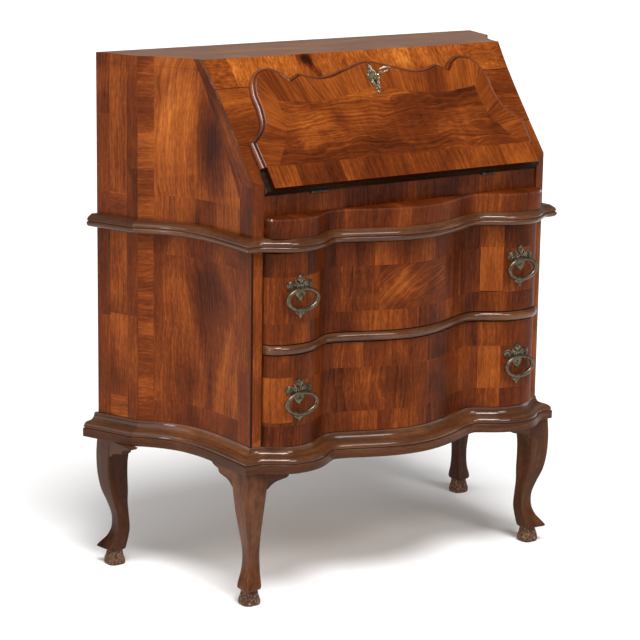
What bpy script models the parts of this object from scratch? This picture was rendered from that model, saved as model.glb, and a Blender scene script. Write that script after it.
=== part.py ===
"""Fall-front writing cabinet: a serpentine walnut case on cabriole legs.

Metres, +Z up, the front faces -Y. The origin lies on the floor, under the middle of the piece.
Plan points are (distance from the centre line, depth from the back), and the slope of the fall
has a frame of its own: x along the cabinet, y up the slope, z out of its face.
"""

import math

import bmesh
import bpy
from mathutils import Matrix, Vector

# Clearances
JOINT_GAP = 0.0003
DRAWER_GAP = 0.001
FALL_GAP = 0.001
PIN_GAP = 0.0004

# Plan of the case
REAR_HALF_WIDTH = 0.452
STILE_HALF_WIDTH = 0.4203
STILE_DEPTH = 0.0968
FRONT_HALF_WIDTH = 0.3445
CORNER_DEPTH = 0.3674
SIDE_SWEEP_SHARE = 1.1253
SIDE_SWEEP_FORWARD = 0.0782
SIDE_STRAIGHT = 0.1174
SIDE_THICK = 0.022
POST_LEAD = 0.0056

# Serpentine of the drawer fronts
LOBE_INSET = 0.0545
LOBE_SPAN = 0.1
LOBE_TURN = 1.35
BOW_FULLNESS = 0.8
LOBE_PROUD = 0.0305
HOLLOW_SINK = 0.008
BOW_PROUD = 0.0405

# Heights, from the floor up
LEG_HEIGHT = 0.259
BASE_HEIGHT = 0.0446
LOWER_DRAWER_SHARE = 0.50494
BEAD_HEIGHT = 0.019
WAIST_HEIGHT = 0.0277
FRIEZE_HEIGHT = 0.0363
FASCIA_HEIGHT = 0.0375
SLOPE_RISE = 0.2315
CASE_HEIGHT = 1.0

# Boards
TOP_THICK = 0.018
BACK_THICK = 0.012
BACK_INSET = 0.004
BOTTOM_THICK = 0.018
WAIST_BOARD_THICK = 0.018
BED_THICK = 0.015
FASCIA_THICK = 0.018
FASCIA_SETBACK = 0.0045
FRIEZE_PROUD = 0.01
FRIEZE_ROUND = 0.003
BEAD_PROUD = 0.008
BEAD_ROOT = 0.0145
GUIDE_WIDTH = 0.012
GUIDE_HEIGHT = 0.014
GUIDE_LENGTH = 0.15

# Mouldings
BASE_OVERHANG = 0.026
BASE_INBOARD = 0.024
BASE_REAR_FLARE = 0.0075
WAIST_OVERHANG = 0.022

# Fall and slope
SLOPE_ANGLE = math.radians(52.5)
BOARD_THICK = 0.015
LIP_THICK = 0.006
PANEL_THICK = 0.012
PANEL_ROUND = 0.0035
RAIL_LENGTH = 0.062
LIP_LENGTH = 0.118
HINGE_SET = 0.002
FALL_FOOT = 0.0015
PANEL_INSET = 0.001

# Crest and shoulders of the raised panel, by their drop below the top edge of the slope
PANEL_CREST = 0.0265
PANEL_SHOULDER_OUT = 0.0045
PANEL_SHOULDER = 0.181

# Hinges of the fall
HINGE_SPACING = 0.402
HINGE_LENGTH = 0.034
HINGE_LEAF = 0.013
LEAF_THICK = 0.0015
BARREL_RADIUS = 0.003
HINGE_PIN_RADIUS = 0.0012

# Lock and key
LOCK_DROP = 0.0735
LOCK_WIDTH = 0.06
LOCK_LENGTH = 0.05
LOCK_THICK = 0.009
LOCK_WALL = 0.001
BOLT_WIDTH = 0.016
BOLT_THICK = 0.0025
BOLT_THROW = 0.008
STRIKE_WIDTH = 0.04
STRIKE_THICK = 0.0015
KEY_RADIUS = 0.0022
KEY_REACH = 0.03
KEY_BIT = 0.007
BOW_HALF_WIDTH = 0.012
BOW_HALF_LENGTH = 0.009
BOW_ROD = 0.0018
KEY_CLEARANCE = 0.0008
ESCUTCHEON_WIDTH = 0.028
ESCUTCHEON_HEIGHT = 0.06
ESCUTCHEON_THICK = 0.0015

# Interior gallery
GALLERY_DEPTH = 0.17
GALLERY_BOARD = 0.009
PIGEONHOLE_HEIGHT = 0.1
PIGEONHOLE_WIDTH = 0.25

# Drawer boxes
FRONT_LEAST = 0.0225
DRAWER_SIDE = 0.01
DRAWER_BOTTOM = 0.007
DRAWER_SIDE_DROP = 0.03
DRAWER_BACK_SPACE = 0.02

# Drawer pulls
PULL_INSET = 0.0066
PULL_RISE_LOWER = 0.4968
PULL_RISE_UPPER = 0.5191
PLATE_WIDTH = 0.066
PLATE_HEIGHT = 0.085
PLATE_THICK = 0.002
EYE_LIFT = 0.015
EYE_REACH = 0.007
EYE_RADIUS = 0.005
RING_HALF_WIDTH = 0.033
RING_HALF_HEIGHT = 0.0195
RING_ROD = 0.00225
RING_PLAY = 0.0006

# Legs
LEG_WIDTH = 0.048
FOOT_FRONT_INSET = 0.0035
FOOT_FRONT_SETBACK = 0.0044
FOOT_REAR_INSET = 0.018
FOOT_REAR_DEPTH = 0.028
EAR_LENGTH = 0.072
EAR_HEIGHT = 0.03
EAR_THICK = 0.02

# Steps of the curved outlines
SIDE_STEPS = 10
LOBE_STEPS = 5
WAVE_STEPS = 7
ROUND_STEPS = 4

# Values that follow from the sizes above
OPENING_HALF = FRONT_HALF_WIDTH - SIDE_THICK
OPENING_DEPTH = CORNER_DEPTH + POST_LEAD
LOBE_X = OPENING_HALF - LOBE_INSET
HOLLOW_X = LOBE_X - LOBE_SPAN
PULL_X = LOBE_X - PULL_INSET
LOBE_DEPTH = OPENING_DEPTH + LOBE_PROUD
HOLLOW_DEPTH = OPENING_DEPTH - HOLLOW_SINK
BOW_DEPTH = OPENING_DEPTH + BOW_PROUD
REAR_Y = (LOBE_DEPTH + BASE_OVERHANG) / 2
SIDE_SWEEP_IN = SIDE_SWEEP_SHARE * (STILE_HALF_WIDTH - FRONT_HALF_WIDTH)
DRAWER_SPACE = (CASE_HEIGHT - SLOPE_RISE - FASCIA_HEIGHT - FRIEZE_HEIGHT - WAIST_HEIGHT - BEAD_HEIGHT
                - BASE_HEIGHT - LEG_HEIGHT)
LOWER_OPENING = DRAWER_SPACE * LOWER_DRAWER_SHARE
UPPER_OPENING = DRAWER_SPACE - LOWER_OPENING
BASE_TOP = LEG_HEIGHT + BASE_HEIGHT
BEAD_BOTTOM = BASE_TOP + LOWER_OPENING
BEAD_TOP = BEAD_BOTTOM + BEAD_HEIGHT
WAIST_BOTTOM = BEAD_TOP + UPPER_OPENING
WAIST_TOP = WAIST_BOTTOM + WAIST_HEIGHT
FRIEZE_TOP = WAIST_TOP + FRIEZE_HEIGHT
HINGE_Z = FRIEZE_TOP + FASCIA_HEIGHT
FASCIA_DEPTH = OPENING_DEPTH - FASCIA_SETBACK
HINGE_DEPTH = FASCIA_DEPTH + HINGE_SET
UNDER_TOP = CASE_HEIGHT - TOP_THICK - JOINT_GAP
INSIDE_BACK = BACK_INSET + BACK_THICK + JOINT_GAP
BEAD_BACK = HOLLOW_DEPTH - BEAD_ROOT
SLOPE_TOP_DEPTH = HINGE_DEPTH - (SLOPE_RISE * math.cos(SLOPE_ANGLE) - BOARD_THICK) / math.sin(SLOPE_ANGLE)
HINGE_DROP = ((HINGE_DEPTH - SLOPE_TOP_DEPTH) * math.cos(SLOPE_ANGLE)
              + SLOPE_RISE * math.sin(SLOPE_ANGLE))
FALL_TOP = RAIL_LENGTH + FALL_GAP
FALL_BOTTOM = HINGE_DROP - FALL_FOOT
FALL_HALF = OPENING_HALF - FALL_GAP
BARREL_ROOM = BARREL_RADIUS + 2 * JOINT_GAP
LOCK_INNER = -BOARD_THICK
LOCK_OUTER = LOCK_INNER + LOCK_THICK
BOLT_OUTER = LOCK_OUTER - LOCK_WALL - JOINT_GAP
BOLT_INNER = BOLT_OUTER - BOLT_THICK
KEY_HUB = KEY_RADIUS + KEY_CLEARANCE

WALNUT = ("walnut", (0.22, 0.085, 0.035), 0.35, 0.0)
FIGURED = ("figured_walnut", (0.27, 0.1, 0.035), 0.3, 0.0)
DARK_WALNUT = ("dark_walnut", (0.13, 0.06, 0.035), 0.35, 0.0)
PINE = ("secondary_wood", (0.38, 0.24, 0.12), 0.7, 0.0)
BRASS = ("antique_brass", (0.2, 0.16, 0.09), 0.4, 1.0)
IRON = ("lock_iron", (0.12, 0.115, 0.11), 0.5, 1.0)


def clear_scene():
    """Removes what the scene holds before the cabinet is built."""
    for item in list(bpy.data.objects):
        bpy.data.objects.remove(item, do_unlink=True)


def new_collection(name):
    group = bpy.data.collections.new(name)
    bpy.context.scene.collection.children.link(group)
    return group


def finish_of(finish):
    """The Principled material of a finish, made on first use."""
    name, colour, roughness, metallic = finish
    material = bpy.data.materials.get(name)
    if material is None:
        material = bpy.data.materials.new(name)
        material.use_nodes = True
        shader = material.node_tree.nodes["Principled BSDF"]
        shader.inputs["Base Color"].default_value = (*colour, 1.0)
        shader.inputs["Roughness"].default_value = roughness
        shader.inputs["Metallic"].default_value = metallic
    return material


def part(name, mesh, finish, origin=(0, 0, 0), carrier=None):
    """A named piece of the cabinet, with its origin moved to a useful point."""
    origin = Vector(origin)
    mesh.transform(Matrix.Translation(-origin))
    mesh.materials.clear()
    mesh.materials.append(finish_of(finish))
    item = bpy.data.objects.new(name, mesh)
    item.location = origin
    bpy.data.collections["fall_front_cabinet"].objects.link(item)
    if carrier:
        bpy.context.view_layer.update()
        item.parent = carrier
        item.matrix_parent_inverse = carrier.matrix_world.inverted()
    return item


def tool(name, mesh):
    """A body that is only cut out of a piece or joined to one."""
    item = bpy.data.objects.new(name, mesh)
    item.hide_render = True
    item.display_type = "WIRE"
    bpy.data.collections["cutters"].objects.link(item)
    return item


def boolean(item, other, operation="DIFFERENCE"):
    modifier = item.modifiers.new(f"{operation.lower()}_{other.name}", "BOOLEAN")
    modifier.operation = operation
    modifier.solver = "EXACT"
    modifier.object = other


def pivot(name, place):
    """An empty on the axis that a moving group turns about."""
    item = bpy.data.objects.new(name, None)
    item.location = place
    item.empty_display_size = 0.02
    bpy.data.collections["fall_front_cabinet"].objects.link(item)
    return item


def mesh_of(shape, name):
    mesh = bpy.data.meshes.new(name)
    shape.to_mesh(mesh)
    shape.free()
    return mesh


def mesh_of_curve(curve, place=Matrix()):
    """The closed mesh of a curve, with its caps welded on."""
    holder = bpy.data.objects.new(curve.name, curve)
    bpy.context.scene.collection.objects.link(holder)
    graph = bpy.context.evaluated_depsgraph_get()
    mesh = bpy.data.meshes.new_from_object(holder.evaluated_get(graph))
    bpy.data.objects.remove(holder, do_unlink=True)
    shape = bmesh.new()
    shape.from_mesh(mesh)
    bmesh.ops.remove_doubles(shape, verts=shape.verts, dist=0.00001)
    bmesh.ops.recalc_face_normals(shape, faces=shape.faces)
    shape.to_mesh(mesh)
    shape.free()
    mesh.transform(place)
    return mesh


def outline_curve(name, points, thickness):
    """A flat closed outline of straight runs, with a thickness about its own plane."""
    curve = bpy.data.curves.new(name, "CURVE")
    curve.dimensions = "2D"
    curve.fill_mode = "BOTH"
    curve.extrude = thickness / 2
    spline = curve.splines.new("POLY")
    spline.points.add(len(points) - 1)
    for point, place in zip(spline.points, points):
        point.co = (place[0], place[1], 0, 1)
    spline.use_cyclic_u = True
    return curve


def prism(name, points, low, high, place=Matrix()):
    """An outline in the XY plane, extruded from low to high and then placed."""
    curve = outline_curve(name, points, high - low)
    return mesh_of_curve(curve, place @ Matrix.Translation((0, 0, (low + high) / 2)))


def plan_prism(name, plan, low, high):
    return prism(name, [(x, REAR_Y - depth) for x, depth in plan], low, high)


def box(name, low, high, place=Matrix()):
    """A block between two corners, then placed."""
    low, high = Vector(low), Vector(high)
    shape = bmesh.new()
    bmesh.ops.create_cube(shape, size=1.0)
    bmesh.ops.scale(shape, vec=high - low, verts=shape.verts)
    bmesh.ops.translate(shape, vec=(low + high) / 2, verts=shape.verts)
    mesh = mesh_of(shape, name)
    mesh.transform(place)
    return mesh


def plan_box(name, half_width, near, far, low, high, centre=0.0):
    """A block given by its half width, its depths from the back and its heights."""
    return box(name, (centre - half_width, REAR_Y - far, low), (centre + half_width, REAR_Y - near, high))


def rod(name, radius, length, place, sides=16):
    """A cylinder along the Z axis of its place, centred there."""
    shape = bmesh.new()
    bmesh.ops.create_cone(shape, cap_ends=True, segments=sides, radius1=radius, radius2=radius, depth=length)
    mesh = mesh_of(shape, name)
    mesh.transform(place)
    return mesh


def loft(name, sections):
    """A closed skin through sections that have the same number of points, capped at both ends."""
    shape = bmesh.new()
    loops = [[shape.verts.new(point) for point in section] for section in sections]
    count = len(loops[0])
    for near, far in zip(loops, loops[1:]):
        for here in range(count):
            there = (here + 1) % count
            shape.faces.new((near[here], near[there], far[there], far[here]))
    shape.faces.new(loops[0])
    shape.faces.new(loops[-1])
    bmesh.ops.recalc_face_normals(shape, faces=shape.faces)
    return mesh_of(shape, name)


def mirrored(points):
    return [(-x, depth) for x, depth in points]


def both_halves(right):
    """A right half that ends on the centre line, joined to its mirror image."""
    return right + mirrored(right[-2::-1])


def ease(start, end, share):
    """A value that leaves start and reaches end level, as half a wave."""
    return start + (end - start) * (1 - math.cos(math.pi * share)) / 2


def side_line():
    """Outer line of the right side, from the edge of the rear stile to the front corner."""
    start = Vector((STILE_HALF_WIDTH, STILE_DEPTH))
    first = start + Vector((-SIDE_SWEEP_IN, SIDE_SWEEP_FORWARD))
    end = Vector((FRONT_HALF_WIDTH, CORNER_DEPTH))
    second = end - Vector((0, SIDE_STRAIGHT))
    line = []
    for step in range(SIDE_STEPS + 1):
        t = step / SIDE_STEPS
        point = start * (1 - t) ** 3 + 3 * first * t * (1 - t) ** 2 + 3 * second * t**2 * (1 - t) + end * t**3
        line.append(tuple(point))
    return line


def wave_line():
    """Serpentine from just inside the lobe, over the hollow, to the bow on the centre line."""
    line = []
    for step in range(1, WAVE_STEPS + 1):
        share = step / WAVE_STEPS
        line.append((LOBE_X - LOBE_SPAN * share, ease(LOBE_DEPTH, HOLLOW_DEPTH, share**LOBE_TURN)))
    for step in range(1, WAVE_STEPS + 1):
        share = step / WAVE_STEPS
        line.append((HOLLOW_X * (1 - share), ease(HOLLOW_DEPTH, BOW_DEPTH, share**BOW_FULLNESS)))
    return line


def front_line():
    """Right half of the drawer fronts' face: a rounded lobe end, then the serpentine."""
    line = []
    for step in range(LOBE_STEPS + 1):
        angle = math.pi / 2 * step / LOBE_STEPS
        line.append((LOBE_X + LOBE_INSET * math.cos(angle), OPENING_DEPTH + LOBE_PROUD * math.sin(angle)))
    return line + wave_line()


def moulding_front_line():
    """Right half of the line that the front mouldings follow, from past the corner to the bow."""
    line = []
    for step in range(1, LOBE_STEPS + 1):
        share = step / LOBE_STEPS
        x = FRONT_HALF_WIDTH + (LOBE_X - FRONT_HALF_WIDTH) * share
        line.append((x, ease(CORNER_DEPTH, LOBE_DEPTH, share)))
    return line + wave_line()


def case_line():
    """Whole outer line of the case, from the right rear corner round the front to the left one."""
    return both_halves([(REAR_HALF_WIDTH, 0.0)] + side_line() + moulding_front_line())


def outward(line):
    """For each point of a line, the mitred step that moves it out by one metre of offset.

    The ends stay in the plane of the back.
    """
    points = [Vector(point) for point in line]
    normals = []
    for here, there in zip(points, points[1:]):
        along = (there - here).normalized()
        normals.append(Vector((along.y, -along.x)))
    steps = [Vector((1 / normals[0].x, 0))]
    for before, after in zip(normals, normals[1:]):
        steps.append((before + after) / (1 + before.dot(after)))
    steps.append(Vector((1 / normals[-1].x, 0)))
    return steps


def shifted(line, distance):
    """A line moved out by a distance, or in by a negative one."""
    return [tuple(Vector(point) + step * distance) for point, step in zip(line, outward(line))]


def at_depth(line, depth):
    """Distance from the centre line where a line, which runs from the back, reaches a depth."""
    for (x, near), (far_x, far) in zip(line, line[1:]):
        if near <= depth <= far:
            return x + (far_x - x) * (depth - near) / (far - near)
    return line[-1][0]


def inner_side_line(clearance):
    """Inner line of the right stile and side, from the back to the front corner."""
    count = len(side_line()) + 1
    return shifted(case_line(), -SIDE_THICK - clearance)[:count - 1] + [
        (OPENING_HALF - clearance, CORNER_DEPTH)]


def interior_outline(near, far, clearance=JOINT_GAP):
    """Outline of a board that lies between the sides, from one depth to another."""
    line = inner_side_line(clearance)
    right = [(at_depth(line, near), near)]
    right += [point for point in line if near < point[1] < far]
    right.append((at_depth(line, far), far))
    return right + mirrored(right[::-1])


def slope_place():
    """Frame of the slope, at the middle of its top edge."""
    turn = Matrix.Rotation(SLOPE_ANGLE, 4, "X")
    return Matrix.Translation((0, REAR_Y - SLOPE_TOP_DEPTH, CASE_HEIGHT)) @ turn


def on_slope(x, drop, out):
    """World place of a point on the slope, by its drop below the top edge and its distance out."""
    return slope_place() @ Vector((x, -drop, out))


def slope_box(name, half_width, top, bottom, inner, outer, centre=0.0):
    """A block on the slope, by its drops below the top edge and its distances out of the face."""
    return box(name, (centre - half_width, -bottom, inner), (centre + half_width, -top, outer), slope_place())


def build_sides():
    """Side panels with their front edges as corner posts, and the canted rear stiles."""
    past = CASE_HEIGHT
    skin = tool("slope_skin", slope_box("slope_skin", past, -past, past, -LIP_THICK - JOINT_GAP, past))
    outer = [(REAR_HALF_WIDTH, 0.0)] + side_line()
    inner = inner_side_line(0.0)
    panel = outer[1:] + [(OPENING_HALF, OPENING_DEPTH)] + inner[:0:-1]
    back = (Vector(outer[0]) - Vector(outer[1])).normalized() * JOINT_GAP
    stile = [outer[0], tuple(Vector(outer[1]) + back), tuple(Vector(inner[1]) + back), inner[0]]
    for side, turn in (("right", list), ("left", mirrored)):
        low = BASE_TOP + JOINT_GAP
        board = part(f"side_panel_{side}", plan_prism("side_panel", turn(panel), low, UNDER_TOP), FIGURED)
        boolean(board, skin)
        part(f"rear_stile_{side}", plan_prism("rear_stile", turn(stile), low, UNDER_TOP), WALNUT)
    return skin


def build_boards(skin):
    """Top, back, bottom, dust boards and the bed of the desk."""
    top = part("top_board", plan_prism("top_board", case_line(), UNDER_TOP + JOINT_GAP, CASE_HEIGHT), WALNUT)
    boolean(top, skin)
    body = slope_box("slope_body", OPENING_HALF + JOINT_GAP, -CASE_HEIGHT, CASE_HEIGHT,
                     -BOARD_THICK - JOINT_GAP, CASE_HEIGHT)
    boolean(top, tool("slope_body", body))
    inner = inner_side_line(JOINT_GAP)
    near, far = BACK_INSET, BACK_INSET + BACK_THICK
    right = [(at_depth(inner, near), near), (at_depth(inner, far), far)]
    back = right + mirrored(right[::-1])
    part("back_panel", plan_prism("back_panel", back, BASE_TOP + JOINT_GAP, UNDER_TOP), PINE)
    floor = shifted(case_line(), -BASE_INBOARD - JOINT_GAP)
    bottom = part("bottom_board", plan_prism("bottom_board", floor, BASE_TOP - BOTTOM_THICK, BASE_TOP), PINE)
    add_guides(bottom, BASE_TOP)
    divider = interior_outline(INSIDE_BACK, BEAD_BACK - JOINT_GAP)
    low, high = BEAD_BOTTOM + DRAWER_GAP, BEAD_TOP - DRAWER_GAP
    divider_board = part("drawer_divider", plan_prism("drawer_divider", divider, low, high), PINE)
    add_guides(divider_board, high)
    waist = interior_outline(INSIDE_BACK, BEAD_BACK - JOINT_GAP)
    part("waist_board", plan_prism("waist_board", waist, WAIST_TOP - WAIST_BOARD_THICK, WAIST_TOP), PINE)
    bed = interior_outline(INSIDE_BACK, FASCIA_DEPTH - FASCIA_THICK - JOINT_GAP)
    part("writing_bed", plan_prism("writing_bed", bed, HINGE_Z - BED_THICK, HINGE_Z), WALNUT)


def add_guides(board, top):
    """Battens that keep a drawer straight where the case is wider than its opening."""
    for side in (-1, 1):
        centre = side * (OPENING_HALF + DRAWER_GAP + GUIDE_WIDTH / 2)
        root = top - BOTTOM_THICK / 4
        batten = plan_box("guide", GUIDE_WIDTH / 2, INSIDE_BACK + JOINT_GAP, INSIDE_BACK + GUIDE_LENGTH,
                          root, top + GUIDE_HEIGHT, centre)
        boolean(board, tool(f"{board.name}_guide_{side}", batten), "UNION")


def section_at(point, step, profile, back_offset, flare):
    """A moulding's cross-section on the mitre plane of one point of its path."""
    outer = [Vector(point) + step * offset + flare for offset, _ in profile]
    inner = Vector(point) + step * back_offset
    places = [(place.x, REAR_Y - place.y, z) for place, (_, z) in zip(outer, profile)]
    for z in (profile[-1][1], profile[0][1]):
        places.append((inner.x, REAR_Y - inner.y, z))
    return places


def build_mouldings(name, profile, side_back, front_back, rear_flare=0.0):
    """Front, left and right lengths of a moulding that runs round the case with mitred corners.

    The flare moves the face of the side lengths further out at their rear ends.
    """
    path = case_line()
    steps = outward(path)
    corner = len(side_line())
    lengths = {"right": (0, corner), "front": (corner, len(path) - 1 - corner),
               "left": (len(path) - 1 - corner, len(path) - 1)}
    for side, (first, last) in lengths.items():
        sections = []
        for index in range(first, last + 1):
            point = Vector(path[index])
            if side != "front" and index == corner:
                point.y -= JOINT_GAP
            if side != "front" and index == len(path) - 1 - corner:
                point.y -= JOINT_GAP
            back = front_back(point, steps[index]) if side == "front" else side_back
            at_rear = index in (0, len(path) - 1)
            flare = Vector((math.copysign(rear_flare, point.x), 0)) if at_rear else Vector((0, 0))
            sections.append(section_at(point, steps[index], profile, back, flare))
        part(f"{name}_{side}", loft(name, sections), DARK_WALNUT)


def base_profile():
    """Plinth face, ovolo and hollow of the base moulding, from the bottom up."""
    face = BASE_HEIGHT * 0.38
    points = [(BASE_OVERHANG, LEG_HEIGHT), (BASE_OVERHANG, LEG_HEIGHT + face)]
    ovolo, fillet = 0.011, 0.0015
    centre = BASE_OVERHANG - fillet - ovolo
    spring = LEG_HEIGHT + face + fillet
    for step in range(ROUND_STEPS + 1):
        angle = math.pi / 2 * step / ROUND_STEPS
        points.append((centre + ovolo * math.cos(angle), spring + ovolo * math.sin(angle)))
    points.append((centre - fillet, LEG_HEIGHT + face + ovolo + fillet * 2))
    points.append((centre / 2, BASE_TOP - (BASE_TOP - points[-1][1]) / 3))
    points.append((fillet, BASE_TOP))
    return points


def waist_profile():
    """Lower bead, narrow hollow and broad roll of the waist moulding, from its underside up."""
    shares = [
        (0.05, 0.0), (0.5, 0.1), (0.85, 0.18), (0.97, 0.28), (1.0, 0.38), (0.95, 0.47), (0.9, 0.52),
        (0.93, 0.58), (0.9, 0.7), (0.8, 0.82), (0.64, 0.92), (0.5, 1.0),
    ]
    return [(WAIST_OVERHANG * out, WAIST_BOTTOM + WAIST_HEIGHT * rise) for out, rise in shares]


def fit_to_posts():
    """Cuts the front waist moulding clear of the posts that it crosses."""
    lead = POST_LEAD / SIDE_THICK
    past = WAIST_OVERHANG
    face = OPENING_DEPTH + JOINT_GAP
    inner, outer = OPENING_HALF - JOINT_GAP, FRONT_HALF_WIDTH + past
    outline = [(inner, BEAD_BACK - past), (outer, BEAD_BACK - past), (outer, face - lead * (outer - inner)),
               (inner, face)]
    front = bpy.data.objects["waist_moulding_front"]
    for side, turn in (("right", list), ("left", mirrored)):
        post = plan_prism("post_clearance", turn(outline), WAIST_BOTTOM - past, WAIST_TOP + past)
        boolean(front, tool(f"post_clearance_{side}", post))


def build_rails():
    """Rails between the posts: the divider's bead, the frieze, the fascia and the slope's rail."""
    line = both_halves(front_line())
    half = OPENING_HALF - JOINT_GAP
    share = half / OPENING_HALF
    bead_sections, frieze_sections = [], []
    for x, depth in line:
        bead_sections.append([(x * share, REAR_Y - d, z) for d, z in bead_profile(depth)])
        frieze_sections.append([(x * share, REAR_Y - d, z) for d, z in frieze_profile(depth + FRIEZE_PROUD)])
    part("divider_bead", loft("divider_bead", bead_sections), DARK_WALNUT)
    part("frieze_rail", loft("frieze_rail", frieze_sections), FIGURED)
    part("fascia_rail", plan_box("fascia_rail", half, FASCIA_DEPTH - FASCIA_THICK, FASCIA_DEPTH,
                                 WAIST_TOP + JOINT_GAP, HINGE_Z), FIGURED)


def bead_profile(depth):
    """Half-round nose of the bead in front of its flat root, at one station of the serpentine."""
    radius = BEAD_HEIGHT / 2
    middle = (BEAD_BOTTOM + BEAD_TOP) / 2
    points = [(BEAD_BACK, BEAD_TOP - DRAWER_GAP), (BEAD_BACK, BEAD_BOTTOM + DRAWER_GAP)]
    for step in range(2 * ROUND_STEPS + 1):
        angle = math.pi * (step / (2 * ROUND_STEPS) - 0.5)
        nose = (radius - DRAWER_GAP) * math.sin(angle)
        points.append((depth + BEAD_PROUD * math.cos(angle), middle + nose))
    return points


def frieze_profile(depth):
    """Frieze with a rounded top edge, at one station of the serpentine."""
    back = FASCIA_DEPTH + JOINT_GAP
    points = [(back, FRIEZE_TOP), (back, WAIST_TOP + JOINT_GAP), (depth, WAIST_TOP + JOINT_GAP)]
    for step in range(ROUND_STEPS):
        angle = math.pi / 2 * step / (ROUND_STEPS - 1)
        points.append((depth - FRIEZE_ROUND * (1 - math.cos(angle)),
                       FRIEZE_TOP - FRIEZE_ROUND * (1 - math.sin(angle))))
    return points


def slope_board(name, top, bottom, lip_bottom, origin, carrier=None):
    """A board of the slope: a body between the sides, with lips that cover their edges."""
    body = slope_box(name, FALL_HALF, top + JOINT_GAP, bottom, -BOARD_THICK, -JOINT_GAP)
    board = part(name, body, FIGURED, origin, carrier)
    lip = tool(f"{name}_lip", slope_box(f"{name}_lip", REAR_HALF_WIDTH, top, lip_bottom, -LIP_THICK, 0.0))
    boolean(lip, bpy.data.objects["case_block"], "INTERSECT")
    boolean(board, lip, "UNION")
    return board


def panel_curve():
    """Outline of the raised panel: a crested top with two points, waisted sides and shoulders."""
    foot = FALL_BOTTOM + PANEL_THICK
    shares = [
        (0.0, 0.0, "AUTO"),
        (0.1555, 0.012, "AUTO"),
        (0.3577, 0.028, "AUTO"),
        (0.5082, 0.0175, "VECTOR"),
        (0.5779, 0.028, "VECTOR"),
        (0.633, 0.0106, "AUTO"),
        (0.7154, 0.0023, "AUTO"),
        (0.8087, 0.0135, "AUTO"),
        (0.8678, 0.0505, "AUTO"),
        (0.874, 0.0935, "AUTO"),
        (0.8989, 0.1235, "AUTO"),
    ]
    right = [(FALL_HALF * share, PANEL_CREST + fall, kind) for share, fall, kind in shares]
    right += [
        (FALL_HALF + PANEL_SHOULDER_OUT, PANEL_SHOULDER, "VECTOR"),
        (FALL_HALF - PANEL_INSET, PANEL_SHOULDER + 0.006, "VECTOR"),
        (FALL_HALF - PANEL_INSET, foot, "VECTOR"),
    ]
    points = right + [(-x, drop, kind) for x, drop, kind in right[:0:-1]]
    curve = bpy.data.curves.new("fall_panel", "CURVE")
    curve.dimensions = "2D"
    curve.fill_mode = "BOTH"
    curve.resolution_u = 4
    curve.extrude = PANEL_THICK / 2 - PANEL_ROUND
    curve.bevel_depth = PANEL_ROUND
    curve.bevel_resolution = 1
    curve.offset = -PANEL_ROUND
    spline = curve.splines.new("BEZIER")
    spline.bezier_points.add(len(points) - 1)
    spline.use_cyclic_u = True
    for knot, (x, drop, kind) in zip(spline.bezier_points, points):
        knot.co = (x, -drop, 0)
        knot.handle_left_type = kind
        knot.handle_right_type = kind
    return curve


def build_fall():
    """Slope rail, fall board and its raised panel, hung on the fall's pivot."""
    hinge = Vector((0, REAR_Y - HINGE_DEPTH, HINGE_Z))
    carrier = pivot("fall_pivot", hinge)
    block = plan_prism("case_block", case_line(), BASE_TOP, CASE_HEIGHT)
    tool("case_block", block)
    rail = slope_board("slope_rail", -RAIL_LENGTH, RAIL_LENGTH - JOINT_GAP, RAIL_LENGTH, (0, 0, 0))
    above = box("above_top", (-1, -1, CASE_HEIGHT), (1, 1, CASE_HEIGHT + 1))
    boolean(rail, tool("above_top", above))
    board = slope_board("fall_board", FALL_TOP, FALL_BOTTOM, FALL_TOP + LIP_LENGTH, hinge, carrier)
    seat = slope_place() @ Matrix.Translation((0, 0, PANEL_THICK / 2 + JOINT_GAP))
    panel = part("fall_panel", mesh_of_curve(panel_curve(), seat), FIGURED, hinge, carrier)
    past = FALL_BOTTOM + SLOPE_RISE
    foot = slope_box("panel_foot", REAR_HALF_WIDTH, FALL_BOTTOM, past, -SLOPE_RISE, SLOPE_RISE)
    boolean(panel, tool("panel_foot", foot))
    return carrier, rail, board, panel


def build_hinges(carrier, board):
    """Two butt hinges, let into the fascia and the fall."""
    fascia = bpy.data.objects["fascia_rail"]
    for side, x in (("left", -HINGE_SPACING / 2), ("right", HINGE_SPACING / 2)):
        seat = Matrix.Translation((x, REAR_Y - HINGE_DEPTH, HINGE_Z))
        tilt = seat @ Matrix.Rotation(SLOPE_ANGLE, 4, "X")
        build_hinge(side, seat, tilt, carrier)
        seat_leaf(fascia, side, seat, -LEAF_THICK - JOINT_GAP, BARREL_ROOM)
        seat_leaf(board, side, tilt, -BARREL_ROOM, LEAF_THICK + JOINT_GAP)


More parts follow.
